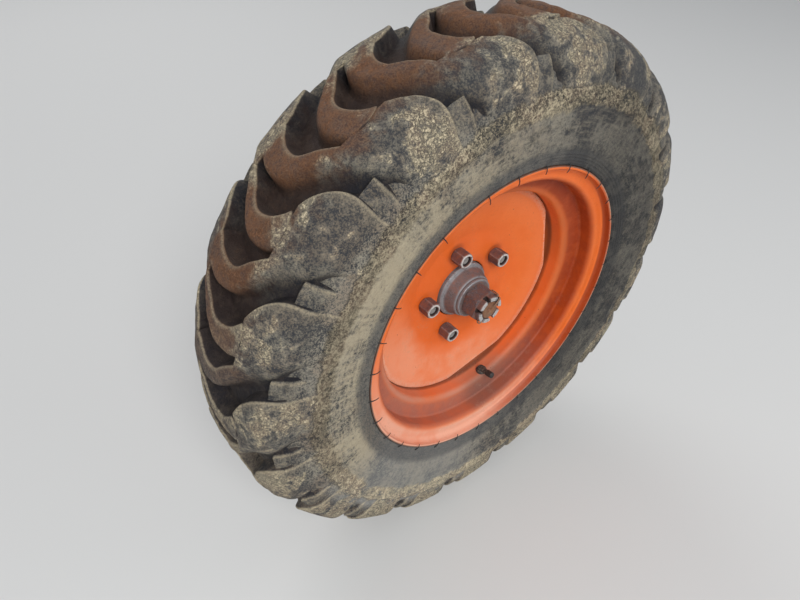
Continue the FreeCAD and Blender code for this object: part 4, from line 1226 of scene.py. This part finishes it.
def make_castle_nut(sizes, material):
    """Castle nut: chamfered hexagon below a round crown cut by six slots.

    Rows have a height and a radius in mm. Then comes 1 where a row below the crown follows the
    hexagon, or how bright a row of the crown is. Columns keep to the slot walls: at radius r a wall
    3.5 mm from the slot's middle plane stands at asin(3.5 / r) from it. Slot columns run level along
    the slot's floor, the others over the crown.
    """
    bore, slot_floor, slot_half = 15.1, 24.0, 3.5
    low = [
        (0.0, 15.05, 0), (0.0, 22.4, 0), (0.7, 24.4, 1), (2.0, 26.0, 1), (8.0, 26.2, 1), (15.0, 26.2, 1),
        (21.0, 26.2, 1), (22.4, 25.6, 1), (23.4, 24.2, 1), (24.0, 22.9, 0)]
    crown = [
        (24.05, 22.1, 0.0), (24.5, 21.75, 0.0), (27.0, 21.7, 0.0), (30.0, 21.7, 0.0), (31.6, 21.6, 0.25),
        (32.6, 21.1, 0.9), (33.0, 20.3, 1.0), (33.0, 16.6, 1.0), (32.9, 15.8, 1.0), (32.4, 15.3, 0.7),
        (31.0, 15.1, -0.4), (24.05, 15.05, -1.0)]
    slot_share = np.linspace(-1, 1, 5)
    land_share = np.linspace(0, 1, 13)
    in_slot = np.tile(np.arange(len(slot_share) + len(land_share)) < len(slot_share), 6)
    sectors = np.arange(6)[:, None] * math.pi / 3 + CASTLE_CORNER + math.pi / 6

    def columns_at(radius):
        half = np.arcsin(np.minimum(0.9, slot_half / radius))
        land = half + (math.pi / 3 - 2 * half) * land_share
        return (sectors + np.concatenate([half * slot_share, land])).ravel()

    rows = []
    for height, widest, is_hexagon in low:
        angle = columns_at(max(min(widest, 21.5), bore))
        hexagonal = hexagon_radius(angle - CASTLE_CORNER, sizes.castle_width / MM, 26.1)
        radius = np.minimum(hexagonal, widest) if is_hexagon else widest
        rows.append(np.broadcast_arrays(radius, height, angle, 0.0))
    # Slot columns go to -0.9 and the crown's bore rows below 0: painted shade in the slots and the bore.
    for (height, widest, shine), floor_radius in zip(crown, np.linspace(22.0, bore, len(crown))):
        rows.append((
            np.where(in_slot, floor_radius, widest), np.where(in_slot, slot_floor, height),
            np.where(in_slot, columns_at(floor_radius), columns_at(widest)),
            np.where(in_slot, -0.9, shine)))
    radius, height, angle, bright = np.moveaxis(np.array(rows), 1, 0)
    points = around(radius * MM, height * MM - CASTLE_SEAT_Y, angle).reshape(-1, 3)
    put(
        "castle_nut_worn", [(worn(points, 0.006, 0.00014, 51.0), grid_faces(*radius.shape, True, True))],
        material, "wheel", ["castle_nut"], {"bright": bright.ravel()}, sharp=20.0)


def make_split_pin(material):
    """Split pin: an open eye in one slot, one leg bent back along the nut, the other over the shaft."""
    out = np.array((math.cos(PIN_ANGLE), 0.0, math.sin(PIN_ANGLE)))
    side = np.array((-math.sin(PIN_ANGLE), 0.0, math.cos(PIN_ANGLE)))
    away = np.array((0.0, -1.0, 0.0))
    over_seat = 0.0284

    def at(radius, height):
        return out * radius * MM + away * (over_seat - CASTLE_SEAT_Y + height * MM)

    back_leg = bent_path([at(-19.0, 0.5), at(24.6, 0.7), at(24.9, -9.0), at(24.4, -12.5)], 0.0028)
    over_leg = bent_path(
        [at(-19.0, -0.6), at(21.5, -0.6), at(22.6, 5.6), at(15.0, 6.0), at(8.0, 5.5)], 0.0024)
    turns = np.linspace(math.radians(25), math.radians(335), 22)
    eye = np.array([at(-21.4 + 3.2 * math.cos(turn), 3.0 * math.sin(turn)) for turn in turns])
    leg_widths, eye_widths = (0.0019, 0.0009), (0.0016, 0.0010)
    parts = ((back_leg, leg_widths), (over_leg, leg_widths), (eye, eye_widths))
    shells = [swept(path, np.full((len(path), 2), widths), side, 12) for path, widths in parts]
    put("split_pin_bent", shells, material, "wheel", ["split_pin"], sharp=50.0)


def make_shaft(material):
    """Half shaft: centre-drilled threaded end, hub taper, bearing journal and splined inner end.

    Rows are a distance outboard of the axle flange and a radius, in mm. The splines are a trapezoid
    wave of the angle: the radius less depth * (1 - clip(0.5 + 1.6 sin(12 a), 0, 1)).
    """
    offset, widest = np.array([
        (322.0, 0.0), (323.6, 1.5), (325.4, 3.2), (326.0, 4.2), (326.0, 12.6), (325.0, 14.2), (324.0, 14.9),
        (320.0, 14.9), (310.0, 14.9), (289.2, 14.9), (289.0, 17.0), (250.0, 19.3), (208.0, 22.0),
        (208.0, 25.0), (196.0, 25.0), (184.0, 25.0), (159.5, 25.0), (159.0, 24.6), (153.0, 19.0),
        (100.0, 19.0), (50.0, 19.0), (10.0, 19.0), (-16.0, 19.0), (-19.0, 16.5), (-20.0, 16.5),
        (-21.5, 19.0), (-30.0, 19.0), (-45.0, 19.0), (-60.6, 19.0), (-61.6, 18.0), (-62.0, 16.8),
        (-62.0, 5.0), (-61.0, 3.6), (-58.0, 0.0)]).T[:, :, None]
    angle = full_turn(240)
    depth = 2.5 * smooth_step(-offset, 20.2, 21.6) * smooth_step(widest, 16.0, 16.6)
    groove = 1 - np.clip(0.5 + 1.6 * np.sin(12 * angle), 0, 1)
    radius = (widest - depth * groove) * MM
    thread = smooth_step(widest, 13.6, 14.6) * (offset > 300)
    # The thread goes below 0: painted shade on it, where it sits in the castle nut.
    bright = (offset < 0) * 0.6 - thread + 0 * angle
    points = around(radius, offset * MM, angle).reshape(-1, 3)
    put(
        "shaft", [(points, grid_faces(*radius.shape, False, True))], material, "wheel",
        ["half_shaft"], {"bright": bright.ravel()}, sharp=34.0)


def make_disc(material):
    """Pressed disc: flat land, dished cone and level edge, with four flats cut on its outline.

    The section is rounded at its bends. The outline is the -220 norm of the edge radius and the flat
    distance / cos of the angle from the flat's middle, which is close to the smaller of the two, and
    the outer rows keep a fixed distance from it. Each nut has a shallow pressed seat,
    depth * exp(-(distance / reach)^4).
    """
    edge, flat, power = WELL_RADIUS, 0.1605, 220.0
    face, dish, thick, bore = -DISC_FACE_Y, 0.0145, 0.008, 0.0458
    front = rounded([
        (face, 0.0400), (face, 0.0930, 0.040), (face + dish, 0.1600, 0.022), (face + dish, 0.2000)], 7)[1:-1]
    radii = np.concatenate([[0.0462, 0.0466], np.linspace(0.0480, 0.1580, 44)])
    level = np.interp(radii, front[:, 1], front[:, 0], left=face, right=face + dish)
    near_edge = np.array([0.0034, 0.0018, 0.0008, 0.0002, 0.0, 0.0, 0.0, 0.0002, 0.0008, 0.0018, 0.0034])
    edge_level = face + dish + np.array([
        0.0, 0.0, -0.0003, -0.0009, -0.0018, -0.0040, -0.0062, -0.0071, -0.0077, -0.0080, -0.0080])
    bore_level = np.array([face - thick + 0.0006, face - thick / 2, face - 0.0006])
    back_level = level[::-1] - thick
    level[0] -= 0.0004
    back_level[-1] += 0.0004
    angle = full_turn(576)
    to_flat = np.mod(angle - FIRST_FLAT + math.pi / 4, math.pi / 2) - math.pi / 4
    outline = (edge ** -power + (flat / np.cos(to_flat)) ** -power) ** (-1 / power)
    face_rows = np.minimum(radii[:, None], outline - 0.0046)
    radius = np.concatenate([
        face_rows, outline - near_edge[:, None], face_rows[::-1], np.full((3, len(angle)), bore)])
    offset = np.concatenate([level, edge_level, back_level, bore_level])[:, None] + 0 * angle
    row = np.arange(len(radius))[:, None] - len(radii)
    is_front = row < 0
    # edge marks the outer rows, where the painted highlight goes.
    is_edge = ((row >= 0) & (row < 4)) + 0 * angle
    seat = 0 * radius
    for _, stud_x, stud_z in stud_places():
        away = np.hypot(radius * np.cos(angle) - stud_x, radius * np.sin(angle) - stud_z)
        offset = offset - is_front * 0.0009 * np.exp(-(away / 0.0165) ** 4)
        # seat is a ring of painted shade round each nut.
        seat = seat + is_front * np.exp(-((away - 0.0130) / 0.0034) ** 2)
    points = around(radius, offset, angle).reshape(-1, 3)
    points[:, 1] += rough_noise(points, 0.090, 5.0, 2) * 0.00025
    put(
        "disc", [(points, grid_faces(*radius.shape, True, True))], material, "wheel",
        ["wheel_disc"], {"seat": seat.ravel(), "edge": is_edge.ravel()}, sharp=50.0, merge=False)


def make_weld(material):
    """Four lumpy weld beads behind the disc, where its round edges meet the well of the rim.

    Each is a bead swept along its arc. For ripples its width is varied by 1 + 0.16 sin of the
    distance + 0.10 sin(41 a).
    """
    bead_radius, bead_offset, half_gap = 0.1688, 0.2722, math.radians(20.5)
    shells = []
    for number in range(4):
        start = FIRST_FLAT + number * TURN / 4
        angle = np.linspace(start + half_gap, start + TURN / 4 - half_gap, 150)
        ripple = 1 + 0.16 * np.sin(angle * 0.169 / 0.0032 * math.pi) + 0.10 * np.sin(angle * 41.0)
        ends = np.sqrt(np.clip(np.sin(np.linspace(0.02, math.pi - 0.02, 150)) * 6, 0, 1))
        thick = 0.0034 * ripple * ends
        path = around(bead_radius, bead_offset, angle)
        shells.append(swept(path, np.stack([thick, thick], 1), (0.0, 1.0, 0.0), 10))
    put("weld_beads", shells, material, "wheel")


def make_valve(rubber, plastic):
    """Tyre valve: moulded rubber foot, bent stem and a fluted cap with a rounded end."""
    foot_angle, lean = math.radians(-78.5), math.radians(14.0)
    inward = np.array((-math.cos(foot_angle), 0.0, -math.sin(foot_angle)))
    outboard = np.array((0.0, -1.0, 0.0))
    foot = outboard * 0.300 - inward * WELL_RADIUS
    bend = foot + inward * 0.0042
    way = outboard * math.cos(lean) + inward * math.sin(lean)
    base = rounded([
        (-0.0080, 0.0), (-0.0080, 0.0054, 0.0004), (-0.0006, 0.0054, 0.0006), (-0.0004, 0.0090, 0.0012),
        (0.0016, 0.0088, 0.0012), (0.0046, 0.0062, 0.0020), (0.0082, 0.0054, 0.0014), (0.0084, 0.0)], 4)
    stem = rounded([
        (-0.0020, 0.0), (-0.0020, 0.0050, 0.0008), (0.0090, 0.0041, 0.0010), (0.0200, 0.0039, 0.0004),
        (0.0200, 0.0)], 3)
    cap = rounded([
        (0.0138, 0.0), (0.0138, 0.0050, 0.0005), (0.0258, 0.0050, 0.0012), (0.0270, 0.0034, 0.0010),
        (0.0270, 0.0)], 4)

    def fluted(length, radius, angle):
        return radius - 0.00035 * (radius > 0.0045) * (length < 0.0250) * (0.5 + 0.5 * np.cos(12 * angle))

    put("valve_body", [turned_on(base, foot, inward, 48), turned_on(stem, bend, way, 40)], rubber,
        "wheel", ["valve_stem"])
    put("valve_dust_cap", [turned_on(cap, bend, way, 96, fluted)], plastic,
        "wheel", ["valve_cap"])


def make_drum(material):
    """Brake drum: rounded section with a lip at its mouth, slightly rough."""
    section = refined(rounded([
        (0.2580, 0.04405), (0.2580, 0.1200, 0.0080), (0.2500, 0.1240, 0.0030), (0.2120, 0.1240, 0.0020),
        (0.2120, 0.1310, 0.0014), (0.2000, 0.1310, 0.0014), (0.2000, 0.1150, 0.0010),
        (0.2520, 0.1150, 0.0030), (0.2520, 0.04405)], 4), 0.0040)
    points, faces = round_the_axle(section, 240)
    points = worn(points, 0.012, 0.00016, 61.0)
    put(
        "drum", [(points, faces)], material, "wheel", ["brake_drum"],
        {"bright": smooth_step(from_axle(points), 0.1300, 0.1308) * 0.4})


# Operators


class PieceOperator:
    """What the operators that make pieces have in common."""

    bl_options = {"REGISTER", "UNDO"}

    def execute(self, context):
        self.build(context.scene.dumper_wheel_sizes, context.scene.dumper_wheel_colours)
        return {"FINISHED"}


class DUMPERWHEEL_OT_tyre(PieceOperator, bpy.types.Operator):
    """Make the tyre's carcass, lugs, shoulder steps and vent whiskers"""

    bl_idname = "dumperwheel.tyre"
    bl_label = "Tyre"

    def build(self, sizes, colours):
        rubber = rubber_material("tyre_rubber", sizes, colours)
        make_carcass(sizes, rubber)
        make_lugs(sizes, rubber)
        make_shelves(sizes, rubber)
        whisker = plain_rubber_material("whisker_rubber", (0.008, 0.008, 0.008), (0.018, 0.016, 0.014))
        make_whiskers(sizes, whisker)


class DUMPERWHEEL_OT_disc(PieceOperator, bpy.types.Operator):
    """Make the pressed disc, its welds, and paint the rim"""

    bl_idname = "dumperwheel.disc"
    bl_label = "Disc and rim"

    def build(self, sizes, colours):
        rim_paint = paint_material("rim_paint", colours, True)
        make_disc(paint_material("disc_paint", colours, False))
        make_weld(rim_paint)
        dress("rim", rim_paint)


class DUMPERWHEEL_OT_hub(PieceOperator, bpy.types.Operator):
    """Make the hub with its washer, castle nut, split pin and shaft"""

    bl_idname = "dumperwheel.hub"
    bl_label = "Hub"

    def build(self, sizes, colours):
        pale = (0.255, 0.235, 0.235)
        hub_iron = iron_material(
            "hub_iron", colours.iron, (0.165, 0.108, 0.098), pale, 1.0, (0.235, 0.240, 0.250))
        castle = iron_material(
            "castle_steel", (0.105, 0.067, 0.068), (0.150, 0.078, 0.062), pale, 1.5, (0.460, 0.450, 0.440))
        shaft = iron_material(
            "shaft_steel", (0.260, 0.120, 0.052), (0.150, 0.062, 0.030), (0.330, 0.230, 0.150), 1.8,
            colours.bright)
        pin = iron_material(
            "pin_steel", (0.340, 0.200, 0.115), (0.200, 0.100, 0.055), (0.430, 0.360, 0.290), 2.0)
        make_hub(hub_iron)
        make_washer(hub_iron)
        make_castle_nut(sizes, castle)
        make_shaft(shaft)
        make_split_pin(pin)


class DUMPERWHEEL_OT_nuts(PieceOperator, bpy.types.Operator):
    """Make the wheel nuts and studs"""

    bl_idname = "dumperwheel.nuts"
    bl_label = "Wheel nuts"

    def build(self, sizes, colours):
        nut_steel = iron_material(
            "nut_steel", (0.100, 0.052, 0.054), (0.165, 0.072, 0.052), (0.230, 0.150, 0.130), 1.6,
            colours.bright)
        stud_steel = iron_material(
            "stud_steel", (0.110, 0.085, 0.075), colours.rust, (0.250, 0.230, 0.210), 1.6,
            (0.300, 0.290, 0.275))
        make_wheel_nuts(sizes, nut_steel)
        make_studs(stud_steel)


class DUMPERWHEEL_OT_valve(PieceOperator, bpy.types.Operator):
    """Make the tyre valve and its cap"""

    bl_idname = "dumperwheel.valve"
    bl_label = "Valve"

    def build(self, sizes, colours):
        rubber = plain_rubber_material("valve_rubber", (0.022, 0.022, 0.022), (0.230, 0.190, 0.140))
        plastic = plain_rubber_material("cap_plastic", (0.012, 0.012, 0.013), (0.120, 0.100, 0.080))
        make_valve(rubber, plastic)


class DUMPERWHEEL_OT_brake(PieceOperator, bpy.types.Operator):
    """Make the brake drum and give the brake and the axle arm their finishes"""

    bl_idname = "dumperwheel.brake"
    bl_label = "Brake and axle"

    def build(self, sizes, colours):
        dusty = (0.200, 0.165, 0.130)
        drum_iron = iron_material(
            "drum_iron", (0.060, 0.047, 0.042), (0.085, 0.042, 0.024), dusty, 0.8, colours.iron)
        axle_iron = iron_material("axle_iron", colours.axle, (0.095, 0.055, 0.036), dusty, 0.6)
        plate = iron_material("plate_steel", (0.075, 0.068, 0.062), (0.110, 0.060, 0.036), dusty, 0.8)
        steel = iron_material(
            "plated_steel", (0.330, 0.310, 0.290), (0.160, 0.095, 0.062), dusty, 1.4, metal=0.8)
        make_drum(drum_iron)
        dress("axle_arm", axle_iron)
        for name in ("brake_back_plate", "bearing_cover"):
            dress(name, plate)
        for name in ("wheel_bearing", "brake_bolts", "brake_cylinder", "bleed_screw"):
            dress(name, steel)


def dress(name, material):
    """Gives a piece that keeps its own shape a finish."""
    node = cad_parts[name]
    node.data.materials.clear()
    node.data.materials.append(material)


class DUMPERWHEEL_OT_stage(bpy.types.Operator):
    """Make the floor, the lights and the camera"""

    bl_idname = "dumperwheel.stage"
    bl_label = "Stage"
    bl_options = {"REGISTER", "UNDO"}

    def execute(self, context):
        colours = context.scene.dumper_wheel_colours
        make_floor(colours)
        make_lights()
        make_camera()
        return {"FINISHED"}


def make_floor(colours):
    """A plain pale floor just under the tyre."""
    reach = 14.0
    level = TYRE_LOW.z - 0.003
    points = [(-reach, -reach, level), (reach, -reach, level), (reach, reach, level), (-reach, reach, level)]
    mesh = bpy.data.meshes.new("floor")
    mesh.from_pydata(points, [], [(0, 1, 2, 3)])
    mesh.update()
    mesh.materials.append(Finish("floor_paint").finish(Base_Color=(*colours.floor, 1.0), Roughness=0.9))
    floor = bpy.data.objects.new("floor", mesh)
    bpy.context.scene.collection.objects.link(floor)


def make_lights():
    """A large lamp overhead, weaker ones beside and behind, and an even world that looks white."""
    lamps = [
        ("key_lamp", (-1.2, -2.9, 2.6), 2.0, 112.0), ("side_lamp", (3.0, -2.2, 1.4), 2.4, 14.0),
        ("back_lamp", (0.4, 3.2, 2.8), 3.0, 50.0)]
    for name, place, width, power in lamps:
        data = bpy.data.lights.new(name, "AREA")
        data.shape = "DISK"
        data.size = width
        data.energy = power
        lamp = bpy.data.objects.new(name, data)
        lamp.location = place
        lamp.rotation_mode = "QUATERNION"
        lamp.rotation_quaternion = (-Vector(place)).to_track_quat("-Z", "Y")
        bpy.context.scene.collection.objects.link(lamp)
    world = bpy.data.worlds.new("studio")
    n = Nodes(world)
    rays = n.add("ShaderNodeLightPath", {}, {}, "Is Camera Ray")
    seen = rays.max(rays.beside("Is Glossy Ray")).max(rays.beside("Is Transmission Ray"))
    light = n.tree.nodes["Background"]
    n.feed(light.inputs["Color"], (0.90, 0.94, 1.00, 1.0))
    n.feed(light.inputs["Strength"], 0.42)
    white = n.add("ShaderNodeBackground", {}, {"Color": (0.93, 0.93, 0.93, 1.0)})
    mixed = n.add("ShaderNodeMixShader", {}, {0: seen, 1: Value(n, light.outputs[0]), 2: white})
    n.feed(n.tree.nodes["World Output"].inputs["Surface"], mixed)
    bpy.context.scene.world = world


def make_camera():
    """The camera, standing above and outboard of the wheel and rolled as it was held."""
    place = (-0.5117, -0.7495, 0.5673)
    right = (0.7872, -0.6160, 0.0274)
    up = (0.3830, 0.5233, 0.7612)
    back = (-0.4833, -0.5888, 0.6479)
    data = bpy.data.cameras.new("camera")
    data.sensor_width = 36.0
    data.lens = 27.68
    data.clip_start = 0.01
    camera = bpy.data.objects.new("camera", data)
    camera.matrix_world = Matrix.Translation(place) @ Matrix((right, up, back)).transposed().to_4x4()
    bpy.context.scene.collection.objects.link(camera)
    bpy.context.scene.camera = camera


STEPS = (
    DUMPERWHEEL_OT_tyre, DUMPERWHEEL_OT_disc, DUMPERWHEEL_OT_hub, DUMPERWHEEL_OT_nuts, DUMPERWHEEL_OT_valve,
    DUMPERWHEEL_OT_brake, DUMPERWHEEL_OT_stage)


class DUMPERWHEEL_PT_panel(bpy.types.Panel):
    """Panel that lists the steps."""

    bl_idname = "DUMPERWHEEL_PT_panel"
    bl_label = "Dumper wheel"
    bl_space_type = "VIEW_3D"
    bl_region_type = "UI"
    bl_category = "Dumper wheel"

    def draw(self, context):
        for step in STEPS:
            self.layout.operator(step.bl_idname)


CLASSES = (DumperWheelSizes, DumperWheelColours, *STEPS, DUMPERWHEEL_PT_panel)


def register():
    for cls in CLASSES:
        bpy.utils.register_class(cls)
    bpy.types.Scene.dumper_wheel_sizes = bpy.props.PointerProperty(type=DumperWheelSizes)
    bpy.types.Scene.dumper_wheel_colours = bpy.props.PointerProperty(type=DumperWheelColours)


def unregister():
    del bpy.types.Scene.dumper_wheel_colours
    del bpy.types.Scene.dumper_wheel_sizes
    for cls in reversed(CLASSES):
        bpy.utils.unregister_class(cls)


def corners(bounds):
    """The lowest and the highest corner as plain lists of numbers."""
    return [[float(value) for value in corner] for corner in bounds]


def main():
    """Registers the classes and makes every piece."""
    bpy.context.scene.view_settings.view_transform = "Standard"
    register()
    bpy.ops.dumperwheel.tyre()
    bpy.ops.dumperwheel.disc()
    bpy.ops.dumperwheel.hub()
    bpy.ops.dumperwheel.nuts()
    bpy.ops.dumperwheel.valve()
    bpy.ops.dumperwheel.brake()
    bpy.ops.dumperwheel.stage()


if __name__ == "__main__":
    main()
